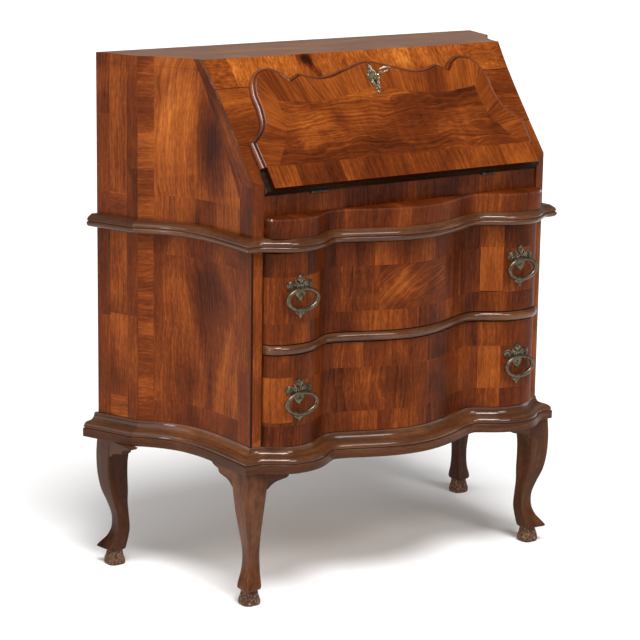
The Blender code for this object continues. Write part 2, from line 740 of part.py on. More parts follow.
def build_hinge(side, seat, tilt, carrier):
    """One butt hinge: a leaf with two outer knuckles, a leaf with the middle one, and their pin."""
    axis = seat.translation
    half = HINGE_LENGTH / 2
    knuckle = HINGE_LENGTH / 3
    along = seat @ Matrix.Rotation(math.pi / 2, 4, "Y")
    leaf = box("case_leaf", (-half, 0, -LEAF_THICK), (half, HINGE_LEAF, 0), seat)
    case_leaf = part(f"hinge_case_leaf_{side}", leaf, BRASS, axis)
    leaf = box("fall_leaf", (-half, 0, 0), (half, HINGE_LEAF, LEAF_THICK), tilt)
    fall_leaf = part(f"hinge_fall_leaf_{side}", leaf, BRASS, axis, carrier)
    bore = tool(f"bore_{side}", rod("bore", HINGE_PIN_RADIUS + PIN_GAP, HINGE_LENGTH * 2, along, 12))
    room = Vector((0, BARREL_ROOM, BARREL_ROOM))

    boolean(case_leaf, tool(f"barrel_{side}", rod("barrel", BARREL_RADIUS, HINGE_LENGTH, along)), "UNION")
    middle = Vector((knuckle / 2 + JOINT_GAP, 0, 0)) + room
    boolean(case_leaf, tool(f"middle_{side}", box("middle", -middle, middle, seat)))
    boolean(case_leaf, bore)

    ends = Vector((HINGE_LENGTH, 0, 0)) + room
    boolean(fall_leaf, tool(f"ends_{side}", box("ends", -ends, ends, seat)))
    tongue = box("tongue", (-knuckle / 2, 0, 0), (knuckle / 2, 2 * BARREL_ROOM, LEAF_THICK), tilt)
    boolean(fall_leaf, tool(f"tongue_{side}", tongue), "UNION")
    boolean(fall_leaf, tool(f"knuckle_{side}", rod("knuckle", BARREL_RADIUS, knuckle, along)), "UNION")
    boolean(fall_leaf, bore)
    part(f"hinge_pin_{side}", rod("hinge_pin", HINGE_PIN_RADIUS, HINGE_LENGTH, along, 12), IRON, axis)


def seat_leaf(board, side, place, low, high):
    """Cuts a leaf's seat, and room for the knuckles, out of the edge of a board."""
    slack = HINGE_LENGTH / 2 + JOINT_GAP
    leaf = box("leaf_seat", (-slack, -BARREL_ROOM, low), (slack, HINGE_LEAF + JOINT_GAP, high), place)
    boolean(board, tool(f"{board.name}_leaf_{side}", leaf))
    room = Vector((slack, BARREL_ROOM, BARREL_ROOM))
    knuckles = box("knuckle_room", -room - Vector((0, BARREL_ROOM, 0)), room, place)
    boolean(board, tool(f"{board.name}_knuckles_{side}", knuckles))


def build_lock(carrier, rail, board, panel):
    """Half-mortise lock in the fall, its bolt, its strike in the slope rail, the key plate and the key."""
    case = build_lock_case(carrier, board)
    build_bolt(carrier)
    build_strike(rail)
    plate_low = PANEL_THICK + 2 * JOINT_GAP
    plate_high = plate_low + ESCUTCHEON_THICK
    plate_mesh = prism("escutcheon", escutcheon_outline(), plate_low, plate_high, slope_place())
    plate = part("escutcheon", plate_mesh, BRASS, carrier.location, carrier)
    axis = slope_place() @ Matrix.Translation((0, -LOCK_DROP, 0))
    build_key(carrier, axis, plate_low + KEY_REACH)
    passage = tool("key_passage", rod("key_passage", KEY_HUB, SLOPE_RISE, axis))
    for piece in (plate, panel, board):
        boolean(piece, passage)
    hole = rod("lock_hole", KEY_HUB, LOCK_THICK, axis @ Matrix.Translation((0, 0, LOCK_OUTER)))
    boolean(case, tool("lock_hole", hole))


def build_lock_case(carrier, board):
    """Box of the lock, open for the bolt and the key, in its pocket in the fall's inner face."""
    half, bottom = LOCK_WIDTH / 2, FALL_TOP + LOCK_LENGTH
    shell = slope_box("lock_case", half, FALL_TOP, bottom, LOCK_INNER, LOCK_OUTER)
    case = part("lock_case", shell, IRON, carrier.location, carrier)
    cavity = slope_box("lock_cavity", half - LOCK_WALL, FALL_TOP + LOCK_WALL, bottom - LOCK_WALL,
                       LOCK_INNER + LOCK_WALL, LOCK_OUTER - LOCK_WALL)
    boolean(case, tool("lock_cavity", cavity))
    slot_half = BOLT_WIDTH / 2 + JOINT_GAP
    mouth = slope_box("bolt_mouth", slot_half, FALL_TOP - LOCK_WALL, FALL_TOP + LOCK_WALL * 2,
                      BOLT_INNER - JOINT_GAP, BOLT_OUTER + JOINT_GAP / 2)
    boolean(case, tool("bolt_mouth", mouth))
    pocket = slope_box("lock_pocket", half + JOINT_GAP, FALL_TOP - FALL_GAP, bottom + JOINT_GAP,
                       LOCK_INNER - FALL_GAP, LOCK_OUTER + JOINT_GAP)
    boolean(board, tool("lock_pocket", pocket))
    return case


def build_bolt(carrier):
    """Flat bolt, drawn back at rest, with a slot that lets it pass the key's shank."""
    top = FALL_TOP + LOCK_WALL / 2
    tail = FALL_TOP + LOCK_LENGTH - LOCK_WALL - BOLT_THROW / 2
    bar = slope_box("lock_bolt", BOLT_WIDTH / 2, top, tail, BOLT_INNER, BOLT_OUTER)
    bolt = part("lock_bolt", bar, IRON, on_slope(0, top, (BOLT_INNER + BOLT_OUTER) / 2), carrier)
    slot = slope_box("bolt_slot", KEY_HUB, LOCK_DROP - KEY_HUB, LOCK_DROP + KEY_HUB + BOLT_THROW,
                     BOLT_INNER - LOCK_WALL, BOLT_OUTER + LOCK_WALL)
    boolean(bolt, tool("bolt_slot", slot))


def build_strike(rail):
    """Plate in the rail's lower edge, with the mortise that takes the bolt."""
    half, top = STRIKE_WIDTH / 2, RAIL_LENGTH - STRIKE_THICK
    low = LOCK_INNER + LOCK_WALL
    plate = slope_box("strike_plate", half, top, RAIL_LENGTH, low, LOCK_OUTER)
    strike = part("strike_plate", plate, BRASS)
    slot = slope_box("strike_slot", BOLT_WIDTH / 2 + KEY_CLEARANCE, RAIL_LENGTH - BOLT_THROW * 1.5,
                     RAIL_LENGTH + FALL_GAP, BOLT_INNER - KEY_CLEARANCE, BOLT_OUTER + KEY_CLEARANCE)
    mortise = tool("strike_slot", slot)
    boolean(strike, mortise)
    boolean(rail, mortise)
    seat = slope_box("strike_seat", half + JOINT_GAP, top - JOINT_GAP, RAIL_LENGTH + FALL_GAP,
                     low - JOINT_GAP, LOCK_OUTER + JOINT_GAP)
    boolean(rail, tool("strike_seat", seat))


def build_key(carrier, axis, head):
    """Key in the lock: a round shank, a bit below it and an oval bow."""
    tip = LOCK_INNER + LOCK_WALL + JOINT_GAP
    middle = axis @ Matrix.Translation((0, 0, (tip + head) / 2))
    key = part("key", rod("key", KEY_RADIUS, head - tip, middle, 12), IRON, axis.translation, carrier)
    bit = slope_box("key_bit", KEY_RADIUS / 2, LOCK_DROP, LOCK_DROP + KEY_BIT, tip, BOLT_INNER - JOINT_GAP)
    boolean(key, tool("key_bit", bit), "UNION")
    boolean(key, tool("key_bow", key_bow(axis, head)), "UNION")


def escutcheon_outline():
    """Scrolled shield outline of the key plate, about the keyhole, in the slope's frame."""
    half, tall = ESCUTCHEON_WIDTH / 2, ESCUTCHEON_HEIGHT / 2
    right = [(0.0, 1.15), (0.3, 1.0), (0.28, 0.78), (0.6, 0.66), (0.72, 0.46), (1.0, 0.32), (0.92, 0.05),
             (0.66, -0.08), (0.62, -0.36), (0.36, -0.52), (0.34, -0.68), (0.2, -0.8), (0.0, -0.92)]
    places = [(x * half, y * tall - LOCK_DROP) for x, y in right]
    return places + [(-x, y) for x, y in places[-2:0:-1]]


def key_bow(axis, head):
    """Oval bow of the key, an upright ring in the plane of the shank."""
    curve = bpy.data.curves.new("key_bow", "CURVE")
    curve.dimensions = "3D"
    curve.bevel_depth = BOW_ROD
    curve.bevel_resolution = 1
    spline = curve.splines.new("POLY")
    count = 20
    spline.points.add(count - 1)
    centre = head + BOW_HALF_LENGTH - BOW_ROD / 2
    for step, point in enumerate(spline.points):
        angle = 2 * math.pi * step / count
        point.co = (BOW_HALF_WIDTH * math.cos(angle), 0, centre + BOW_HALF_LENGTH * math.sin(angle), 1)
    spline.use_cyclic_u = True
    return mesh_of_curve(curve, axis)


def build_gallery():
    """Shelf and uprights of the pigeonholes at the back of the desk."""
    shelf_low = HINGE_Z + PIGEONHOLE_HEIGHT
    outline = interior_outline(INSIDE_BACK, GALLERY_DEPTH)
    part("gallery_shelf", plan_prism("gallery_shelf", outline, shelf_low, shelf_low + GALLERY_BOARD), WALNUT)
    for side, x in (("left", -PIGEONHOLE_WIDTH / 2), ("right", PIGEONHOLE_WIDTH / 2)):
        upright = plan_box("gallery_divider", GALLERY_BOARD / 2, INSIDE_BACK, GALLERY_DEPTH,
                           HINGE_Z + JOINT_GAP, shelf_low - JOINT_GAP, x)
        part(f"gallery_divider_{side}", upright, WALNUT)


def build_drawer(name, runner, low, high, pull_rise):
    """A drawer with a serpentine front and two pulls, whose sides ride on a runner."""
    pull_z = low + DRAWER_GAP + (high - low) * pull_rise
    low, high = low + DRAWER_GAP, high - DRAWER_GAP
    ride = runner + JOINT_GAP
    half = OPENING_HALF - DRAWER_GAP
    inside = HOLLOW_DEPTH - FRONT_LEAST
    origin = Vector((0, REAR_Y - inside, low))
    carrier = pivot(f"{name}_slide", origin)
    outline = drawer_face() + [(-half, inside), (half, inside)]
    part(f"{name}_front", plan_prism("drawer_front", outline, low, high), FIGURED, origin, carrier)
    rear = INSIDE_BACK + DRAWER_BACK_SPACE
    top = high - DRAWER_SIDE_DROP
    box_front = inside - JOINT_GAP
    for side, sign in (("left", -1), ("right", 1)):
        centre = sign * (half - DRAWER_GAP - DRAWER_SIDE / 2)
        plank = plan_box("drawer_side", DRAWER_SIDE / 2, rear, box_front, ride, top, centre)
        part(f"{name}_side_{side}", plank, PINE, origin, carrier)
    between = half - DRAWER_GAP - DRAWER_SIDE - JOINT_GAP
    back = plan_box("drawer_back", between, rear, rear + DRAWER_SIDE, ride, top)
    part(f"{name}_back", back, PINE, origin, carrier)
    floor = plan_box("drawer_bottom", between, rear + DRAWER_SIDE + JOINT_GAP, box_front,
                     ride + DRAWER_BOTTOM / 2, ride + DRAWER_BOTTOM * 1.5)
    part(f"{name}_bottom", floor, PINE, origin, carrier)
    for side, sign in (("left", -1), ("right", 1)):
        build_pull(f"{name}_{side}", sign * PULL_X, pull_z, carrier)


def drawer_face():
    """Line of the drawer fronts' face, from the right end to the left one."""
    share = (OPENING_HALF - DRAWER_GAP) / OPENING_HALF
    return [(x * share, depth) for x, depth in both_halves(front_line())]


def pull_depth(x):
    """Depth of the drawer front's face at a pull."""
    line = sorted(drawer_face())
    for (near, first), (far, second) in zip(line, line[1:]):
        if near <= x <= far:
            return first + (second - first) * (x - near) / (far - near)
    return LOBE_DEPTH


def build_plate_shell():
    """A skin over the drawer fronts, from which the back plates take their bend."""
    face = drawer_face()
    inner = [(x, depth + JOINT_GAP) for x, depth in face]
    outer = [(x, depth + JOINT_GAP + PLATE_THICK) for x, depth in face]
    tool("plate_shell", plan_prism("plate_shell", inner + outer[::-1], BASE_TOP, WAIST_BOTTOM))


def plate_outline(x, z):
    """Leafy outline of a back plate: a finial, two scrolled wings and a pendant tip."""
    half, tall = PLATE_WIDTH / 2, PLATE_HEIGHT / 2
    right = [(0.0, 1.0), (0.16, 0.86), (0.3, 0.72), (0.34, 0.58), (0.62, 0.62), (0.9, 0.56), (1.0, 0.42),
             (0.8, 0.3), (0.56, 0.26), (0.42, 0.08), (0.36, -0.2), (0.3, -0.5), (0.46, -0.62), (0.4, -0.76),
             (0.18, -0.8), (0.0, -1.0)]
    places = [(place * half, rise * tall) for place, rise in right]
    whole = places + [(-place, rise) for place, rise in places[-2:0:-1]]
    return [(place + x, rise + z) for place, rise in whole]


def build_pull(name, x, z, carrier):
    """Back plate with its eye, and the oval ring that swings in it."""
    upright = Matrix.Rotation(math.pi / 2, 4, "X")
    depth = pull_depth(x) + JOINT_GAP
    face = Matrix.Translation((0, REAR_Y - depth, 0)) @ upright
    blank = prism("pull_plate", plate_outline(x, z), -PLATE_WIDTH / 2, PLATE_WIDTH / 2, face)
    plate = part(f"{name}_plate", blank, BRASS, (x, REAR_Y - depth, z), carrier)
    boolean(plate, bpy.data.objects["plate_shell"], "INTERSECT")
    out = PLATE_THICK + EYE_REACH
    eye = Vector((x, REAR_Y - depth - out, z + EYE_LIFT))
    length = out + EYE_RADIUS - PLATE_THICK / 2
    middle = Matrix.Translation((x, REAR_Y - depth - PLATE_THICK / 2 - length / 2, eye.z))
    boolean(plate, tool(f"{name}_eye", rod("eye", EYE_RADIUS, length, middle @ upright)), "UNION")
    across = Matrix.Translation(eye) @ Matrix.Rotation(math.pi / 2, 4, "Y")
    hole = rod("eye_hole", RING_ROD + RING_PLAY, EYE_RADIUS * 4, across, 12)
    boolean(plate, tool(f"{name}_eye_hole", hole))
    curve = bpy.data.curves.new("pull_ring", "CURVE")
    curve.dimensions = "3D"
    curve.bevel_depth = RING_ROD
    curve.bevel_resolution = 2
    spline = curve.splines.new("POLY")
    count = 28
    spline.points.add(count - 1)
    for step, point in enumerate(spline.points):
        angle = 2 * math.pi * step / count
        point.co = (RING_HALF_WIDTH * math.sin(angle), 0, RING_HALF_HEIGHT * (math.cos(angle) - 1), 1)
    spline.use_cyclic_u = True
    part(f"{name}_ring", mesh_of_curve(curve, Matrix.Translation(eye)), BRASS, eye, carrier)


def leg_stations():
    """Stations of a leg from the hoof to the knee.

    Each has its height, the width of its section, its outward lean, the share cut from its corners
    and how far it is drawn out along the leg's diagonal. Heights are shares of the leg's own height,
    widths and leans are shares of its width.
    """
    shares = [
        (0.0, 0.75, 0.0, 0.3, 1.0),
        (0.031, 0.77, 0.01, 0.3, 1.0),
        (0.077, 0.5625, 0.0, 0.3, 1.0),
        (0.104, 0.5, -0.02, 0.25, 1.0),
        (0.131, 0.625, 0.0625, 0.15, 1.08),
        (0.166, 0.6875, 0.104, 0.1, 1.12),
        (0.216, 0.5625, -0.104, 0.1, 1.1),
        (0.301, 0.51, -0.26, 0.1, 1.1),
        (0.386, 0.51, -0.24, 0.1, 1.05),
        (0.483, 0.583, -0.125, 0.1, 1.1),
        (0.579, 0.6875, -0.02, 0.1, 1.2),
        (0.695, 0.8125, 0.042, 0.1, 1.12),
        (0.811, 0.917, 0.052, 0.08, 1.03),
        (0.927, 0.979, 0.0, 0.05, 1.0),
        (1.0, 1.0, -0.042, 0.05, 1.0),
    ]
    high = LEG_HEIGHT - JOINT_GAP
    return [(high * rise, LEG_WIDTH * width, LEG_WIDTH * lean, cut, stretch)
            for rise, width, lean, cut, stretch in shares]


def leg_section(width, roundness, stretch, diagonal):
    """A square with cut corners about its centre, drawn out along a diagonal."""
    half, cut = width / 2, width * roundness
    corners = [(half, half - cut), (half - cut, half), (cut - half, half), (-half, half - cut),
               (-half, cut - half), (cut - half, -half), (half - cut, -half), (half, cut - half)]
    places = [Vector((a, b, 0)) for a, b in corners]
    return [place + diagonal * place.dot(diagonal) * (stretch - 1) for place in places]


def build_legs():
    """Four diagonal cabriole legs on hoof feet, each with two shaped ears under the base."""
    places = {"front": (FRONT_HALF_WIDTH - FOOT_FRONT_INSET, CORNER_DEPTH - FOOT_FRONT_SETBACK, 1),
              "rear": (REAR_HALF_WIDTH - FOOT_REAR_INSET, FOOT_REAR_DEPTH, -1)}
    for end, (x, depth, forward) in places.items():
        for side, sign in (("left", -1), ("right", 1)):
            name = f"leg_{end}_{side}"
            diagonal = Vector((sign, -forward, 0)) / math.sqrt(2)
            foot = Vector((sign * x, REAR_Y - depth, 0))
            sections = []
            for height, width, lean, roundness, stretch in leg_stations():
                middle = foot + diagonal * lean + Vector((0, 0, height))
                section = leg_section(width, roundness, stretch, diagonal)
                sections.append([middle + place for place in section])
            leg = part(name, loft("leg", sections), DARK_WALNUT, foot)
            top = leg_stations()[-1][1] / 2
            inset = top - EAR_THICK / 2
            face_front = Matrix.Translation((foot.x, foot.y - forward * inset, 0))
            face_side = Matrix.Translation((foot.x + sign * inset, foot.y, 0))
            along_x = face_front @ Matrix.Scale(-sign, 4, (1, 0, 0))
            along_y = face_side @ Matrix.Rotation(forward * math.pi / 2, 4, "Z")
            for index, place in enumerate((along_x, along_y)):
                boolean(leg, tool(f"{name}_ear_{index}", ear_mesh(top, place)), "UNION")


def ear_mesh(start, place):
    """A bracket that grows out of the knee along X, with a stepped and curved lower edge."""
    high = LEG_HEIGHT - JOINT_GAP
    inside = start - EAR_THICK / 2
    shares = [(1.0, 0.0), (0.9, 0.16), (0.68, 0.4), (0.62, 0.56), (0.3, 0.76), (0.1, 0.94), (0.0, 1.1)]
    outline = [(start + EAR_LENGTH * along, high - EAR_HEIGHT * drop) for along, drop in shares]
    outline += [(inside, high - EAR_HEIGHT * 1.2), (inside, high)]
    upright = Matrix.Rotation(math.pi / 2, 4, "X")
    mesh = prism("ear", outline, -EAR_THICK / 2, EAR_THICK / 2, place @ upright)
    shape = bmesh.new()
    shape.from_mesh(mesh)
    bmesh.ops.recalc_face_normals(shape, faces=shape.faces)
    shape.to_mesh(mesh)
    shape.free()
    return mesh


def main():
    clear_scene()
    new_collection("fall_front_cabinet")
    new_collection("cutters")
    skin = build_sides()
    build_boards(skin)
    build_mouldings("base_moulding", base_profile(), -BASE_INBOARD, lambda point, step: -BASE_INBOARD,
                    BASE_REAR_FLARE)
    build_mouldings("waist_moulding", waist_profile(), JOINT_GAP,
                    lambda point, step: (BEAD_BACK - point.y) / step.y)
    fit_to_posts()
    build_rails()
    carrier, rail, board, panel = build_fall()
    build_hinges(carrier, board)
    build_lock(carrier, rail, board, panel)
    build_gallery()
    build_plate_shell()
    build_drawer("drawer_lower", BASE_TOP, BASE_TOP, BEAD_BOTTOM, PULL_RISE_LOWER)
    build_drawer("drawer_upper", BEAD_TOP - DRAWER_GAP, BEAD_TOP, WAIST_BOTTOM, PULL_RISE_UPPER)
    build_legs()


main()
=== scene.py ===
"""Looks of the fall-front cabinet: veneers, mouldings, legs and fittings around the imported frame.

Metres, +Z up, the front faces -Y. Plan points are (distance from the centre line, depth from the back).
Each veneered face starts as a flat blank that is cut into sheets, laid with its grain and then bent.
"""

import bisect
import logging
import math
import random
from collections.abc import Callable, Iterable, Sequence
from dataclasses import dataclass
from enum import Enum

import bmesh
import bpy
from mathutils import Matrix, Vector


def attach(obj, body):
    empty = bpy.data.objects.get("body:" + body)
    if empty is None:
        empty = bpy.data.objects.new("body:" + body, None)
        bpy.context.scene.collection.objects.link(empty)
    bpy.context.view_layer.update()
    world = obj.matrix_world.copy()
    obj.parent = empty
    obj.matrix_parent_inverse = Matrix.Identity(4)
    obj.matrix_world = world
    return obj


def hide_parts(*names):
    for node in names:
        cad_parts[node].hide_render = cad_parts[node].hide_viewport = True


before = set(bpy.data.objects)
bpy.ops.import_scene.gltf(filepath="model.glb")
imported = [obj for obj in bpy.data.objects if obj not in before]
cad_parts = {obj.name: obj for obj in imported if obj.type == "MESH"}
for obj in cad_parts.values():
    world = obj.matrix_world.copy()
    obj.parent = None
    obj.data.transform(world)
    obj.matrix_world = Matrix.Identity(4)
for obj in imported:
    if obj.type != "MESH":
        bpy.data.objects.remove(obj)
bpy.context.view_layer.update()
LOG = logging.getLogger("cabinet")
Point = tuple[float, float]
Triple = tuple[float, float, float]
Stops = tuple[tuple[float, Triple], ...]
Knots = Sequence[tuple[float, float, bool]]
Socket = bpy.types.NodeSocket
Mesh = bmesh.types.BMesh
GRAIN, TONE, FIGURE = "grain", "tone", "figure"
NEAR = 1e-6
FACING = 0.9
TIMBER = 40.0


class Slot(Enum):
    """Material slots of the record."""

    WALNUT = "walnut"
    FIGURED = "figured_walnut"
    DARK = "dark_walnut"
    BRASS = "antique_brass"
    IRON = "lock_iron"


class Hand(Enum):
    """Side of the cabinet, as seen from the front."""

    LEFT = -1
    RIGHT = 1

    @property
    def label(self) -> str:
        """The side's name in the pieces' names."""
        return self.name.lower()


class Lie(Enum):
    """Direction in which the grain of a plain board runs."""

    ACROSS = (0.0, 0.0, 0.0)
    BACK = (0.0, 0.0, math.pi / 2)
    UP = (0.0, math.pi / 2, 0.0)


class Graph:
    """Node graph of one finish, around a Principled shader."""

    def __init__(self, name: str) -> None:
        """Starts the material.

        Args:
            name: Name of the material.
        """
        self.material = bpy.data.materials.new(name)
        self.material.use_nodes = True
        self.tree = self.material.node_tree
        self.shader = self.tree.nodes["Principled BSDF"]

    def add(self, kind: str, sources: dict | None = None, **settings: object) -> bpy.types.Node:
        """Adds a node.

        Args:
            kind: Blender's name of the node type.
            sources: Sockets or plain values for its inputs, by name or index.
            settings: Other properties of the node.

        Returns:
            The new node.
        """
        node = self.tree.nodes.new(kind)
        for key, value in settings.items():
            setattr(node, key, value)
        for key, source in (sources or {}).items():
            self.feed(node.inputs[key], source)
        return node

    def feed(self, socket: Socket, source: object) -> None:
        """Links a socket, or sets its plain value.

        Args:
            socket: Input to feed.
            source: Output socket or value.
        """
        if isinstance(source, Socket):
            self.tree.links.new(source, socket)
        else:
            socket.default_value = source

    def calc(self, operation: str, first: object, second: object) -> Socket:
        """One step of arithmetic.

        Args:
            operation: Name of the Math operation.
            first: Left value or socket.
            second: Right value or socket.

        Returns:
            The result's socket.
        """
        return self.add("ShaderNodeMath", {0: first, 1: second}, operation=operation).outputs[0]

    def swing(self, source: Socket, amount: object) -> Socket:
        """A noise value centred on zero and scaled.

        Args:
            source: Noise from 0 to 1.
            amount: Scale, as a value or socket.

        Returns:
            The centred value's socket.
        """
        return self.calc("MULTIPLY", self.calc("SUBTRACT", source, 0.5), amount)

    def total(self, *terms: object) -> Socket:
        """The sum of several terms.

        Args:
            terms: Values or sockets.

        Returns:
            The sum's socket.
        """
        result = terms[0]
        for term in terms[1:]:
            result = self.calc("ADD", result, term)
        return result

    def stretched(self, vector: Socket, scale: Sequence[float],
                  turn: Sequence[float] = (0.0, 0.0, 0.0)) -> Socket:
        """Coordinates scaled to a pattern's size.

        Args:
            vector: Coordinates in metres.
            scale: Pattern cells per metre on each axis.
            turn: Rotation before the scale, in radians.

        Returns:
            The pattern's coordinates.
        """
        node = self.add("ShaderNodeMapping", {"Vector": vector}, vector_type="POINT")
        node.inputs["Scale"].default_value = scale
        node.inputs["Rotation"].default_value = turn
        return node.outputs["Vector"]

    def noise(self, vector: Socket, detail: float, roughness: float = 0.5,
              distortion: float = 0.0) -> Socket:
        """Noise at scale one.

        Args:
            vector: The pattern's coordinates.
            detail: Octaves.
            roughness: Strength of the finer octaves.
            distortion: Swirl of the pattern.

        Returns:
            The noise value's socket.
        """
        node = self.add("ShaderNodeTexNoise", {"Vector": vector, "Scale": 1.0, "Detail": detail,
                                               "Roughness": roughness, "Distortion": distortion})
        return node.outputs["Fac"]

    def ramp(self, amount: Socket, stops: Stops) -> Socket:
        """Colours by amount.

        Args:
            amount: Value from 0 to 1.
            stops: Places and their colours.

        Returns:
            The colour's socket.
        """
        node = self.add("ShaderNodeValToRGB", {"Fac": amount})
        while len(node.color_ramp.elements) < len(stops):
            node.color_ramp.elements.new(0.5)
        for element, (place, colour) in zip(node.color_ramp.elements, stops):
            element.position = place
            element.color = (*colour, 1.0)
        return node.outputs["Color"]

    def bump(self, height: Socket, strength: float, distance: float) -> None:
        """Gives the shader a bump.

        Args:
            height: Height value's socket.
            strength: Share of the effect.
            distance: Height of one unit in metres.
        """
        node = self.add("ShaderNodeBump", {"Height": height, "Strength": strength, "Distance": distance})
        self.feed(self.shader.inputs["Normal"], node.outputs["Normal"])

    def plain(self, **values: object) -> None:
        """Sets constant values on the shader's own sockets, by names with underscores."""
        for key, value in values.items():
            self.shader.inputs[key.replace("_", " ").title().replace("Ior", "IOR")].default_value = value


@dataclass(frozen=True)
class Finish:
    """A finish by its name and its colours from dark to light."""

    name: str
    stops: Stops

    def build(self) -> bpy.types.Material:
        """Makes the material on first use.

        Returns:
            The material.
        """
        known = bpy.data.materials.get(self.name)
        if known:
            return known
        graph = Graph(self.name)
        self.paint(graph)
        return graph.material

    def paint(self, graph: Graph) -> None:
        """Draws the finish in a new graph."""
        raise NotImplementedError


@dataclass(frozen=True)
class VeneerFinish(Finish):
    """Polished walnut whose grain follows the sheets' own UV map.

    The tone attribute shifts it lighter or darker, and the figure attribute swirls it from plain to burr.
    """

    lines: float = 170.0
    contrast: float = 0.4
    burr: float = 0.4
    cloud: float = 0.8
    fleck: float = 0.34
    swirl: float = 16.0
    shift: float = 0.62
    roughness: float = 0.42
    specular: float = 0.03
    coat: float = 0.1
    coat_roughness: float = 0.26
    drift: float = 5.0
    pace: float = 1.7
    fibre: float = 0.36
    ripple: float = 0.2
    drift_cells: Triple = (2.4, 11.0, 1.0)
    eddy_cells: Triple = (8.0, 13.0, 1.0)
    fibre_cells: Triple = (14.0, 520.0, 1.0)
    cloud_cells: Triple = (5.0, 11.0, 1.0)
    fleck_cells: Triple = (75.0, 230.0, 1.0)
    ripple_cells: Triple = (70.0, 9.0, 1.0)

    def paint(self, graph: Graph) -> None:
        """Draws growth bands that eddy with the figure, with clouds, fibre and flecks over them.

        Args:
            graph: Graph of the material.
        """
        sheet = graph.add("ShaderNodeUVMap", uv_map=GRAIN).outputs["UV"]
        tone = graph.add("ShaderNodeAttribute", attribute_name=TONE).outputs["Fac"]
        figure = graph.add("ShaderNodeAttribute", attribute_name=FIGURE).outputs["Fac"]
        axes = graph.add("ShaderNodeSeparateXYZ", {0: sheet})
        along, across = axes.outputs["X"], axes.outputs["Y"]
        drift = graph.noise(graph.stretched(sheet, self.drift_cells), 2.0)
        eddies = graph.noise(graph.stretched(sheet, self.eddy_cells), 2.5, 0.45, 0.5)
        bent = graph.total(graph.calc("MULTIPLY", across, self.lines), graph.swing(drift, self.drift),
                           graph.calc("MULTIPLY", figure, graph.swing(eddies, self.swirl)))
        course = graph.add("ShaderNodeCombineXYZ", {0: graph.calc("MULTIPLY", along, self.pace), 1: bent})
        bands = graph.noise(course.outputs[0], 4.0, 0.62)
        fibre = graph.noise(graph.stretched(sheet, self.fibre_cells), 3.0, 0.6)
        cloud = graph.noise(graph.stretched(sheet, self.cloud_cells), 3.0, 0.5, 0.7)
        flecks = graph.noise(graph.stretched(sheet, self.fleck_cells), 2.0, 0.6)
        ripple = graph.noise(graph.stretched(sheet, self.ripple_cells), 1.0)
        depth = graph.total(graph.calc("MULTIPLY", figure, self.burr), self.contrast)
        amount = graph.total(graph.swing(bands, depth), graph.swing(cloud, self.cloud),
                             graph.swing(fibre, self.fibre), graph.swing(flecks, self.fleck),
                             graph.calc("MULTIPLY", figure, graph.swing(ripple, self.ripple)),
                             graph.calc("MULTIPLY", tone, self.shift), 0.5)
        graph.feed(graph.shader.inputs["Base Color"], graph.ramp(amount, self.stops))
        gloss = graph.total(self.roughness, graph.swing(fibre, 0.16), graph.swing(cloud, 0.14))
        graph.feed(graph.shader.inputs["Roughness"], gloss)
        graph.plain(coat_weight=self.coat, coat_roughness=self.coat_roughness,
                    specular_ior_level=self.specular)
        graph.bump(graph.total(fibre, graph.calc("MULTIPLY", bands, 0.6)), 0.16, 0.0006)


@dataclass(frozen=True)
class BoardFinish(Finish):
    """Plain wood on Object coordinates, for boards that carry no veneer."""

    lie: Lie
    roughness: float
    specular: float = 0.12
    drift_cells: Triple = (1.5, 8.0, 8.0)
    ring_cells: Triple = (2.0, 55.0, 55.0)
    fibre_cells: Triple = (18.0, 650.0, 650.0)

    def paint(self, graph: Graph) -> None:
        """Draws growth rings and fibre along the grain.

        Args:
            graph: Graph of the material.
        """
        place = graph.add("ShaderNodeTexCoord").outputs["Object"]
        turned = graph.stretched(place, (1.0, 1.0, 1.0), self.lie.value)
        drift = graph.noise(graph.stretched(turned, self.drift_cells), 2.0)
        rings = graph.noise(graph.stretched(turned, self.ring_cells), 3.0, 0.6, 0.4)
        fibre = graph.noise(graph.stretched(turned, self.fibre_cells), 2.0)
        amount = graph.total(graph.swing(drift, 1.2), graph.swing(rings, 1.3), graph.swing(fibre, 0.5), 0.5)
        graph.feed(graph.shader.inputs["Base Color"], graph.ramp(amount, self.stops))
        graph.feed(graph.shader.inputs["Roughness"], graph.total(self.roughness, graph.swing(fibre, 0.2)))
        graph.plain(specular_ior_level=self.specular)
        graph.bump(graph.total(fibre, rings), 0.2, 0.0006)


@dataclass(frozen=True)
class MottledFinish(Finish):
    """Old metal or worn wood with a mottled patina, on Object coordinates."""

    roughness: float
    metallic: float
    specular: float = 0.5
    mottle: float = 130.0
    pits: float = 700.0

    def paint(self, graph: Graph) -> None:
        """Draws the patina and fine pits.

        Args:
            graph: Graph of the material.
        """
        place = graph.add("ShaderNodeTexCoord").outputs["Object"]
        mottle = graph.noise(graph.stretched(place, (self.mottle, self.mottle, self.mottle)), 3.0, 0.6)
        pits = graph.noise(graph.stretched(place, (self.pits, self.pits, self.pits)), 2.0)
        amount = graph.total(graph.swing(mottle, 1.8), graph.swing(pits, 0.6), 0.5)
        graph.feed(graph.shader.inputs["Base Color"], graph.ramp(amount, self.stops))
        graph.feed(graph.shader.inputs["Roughness"], graph.total(self.roughness, graph.swing(mottle, 0.3)))
        graph.plain(metallic=self.metallic, specular_ior_level=self.specular)
        graph.bump(graph.total(mottle, graph.calc("MULTIPLY", pits, 0.4)), 0.3, 0.0005)


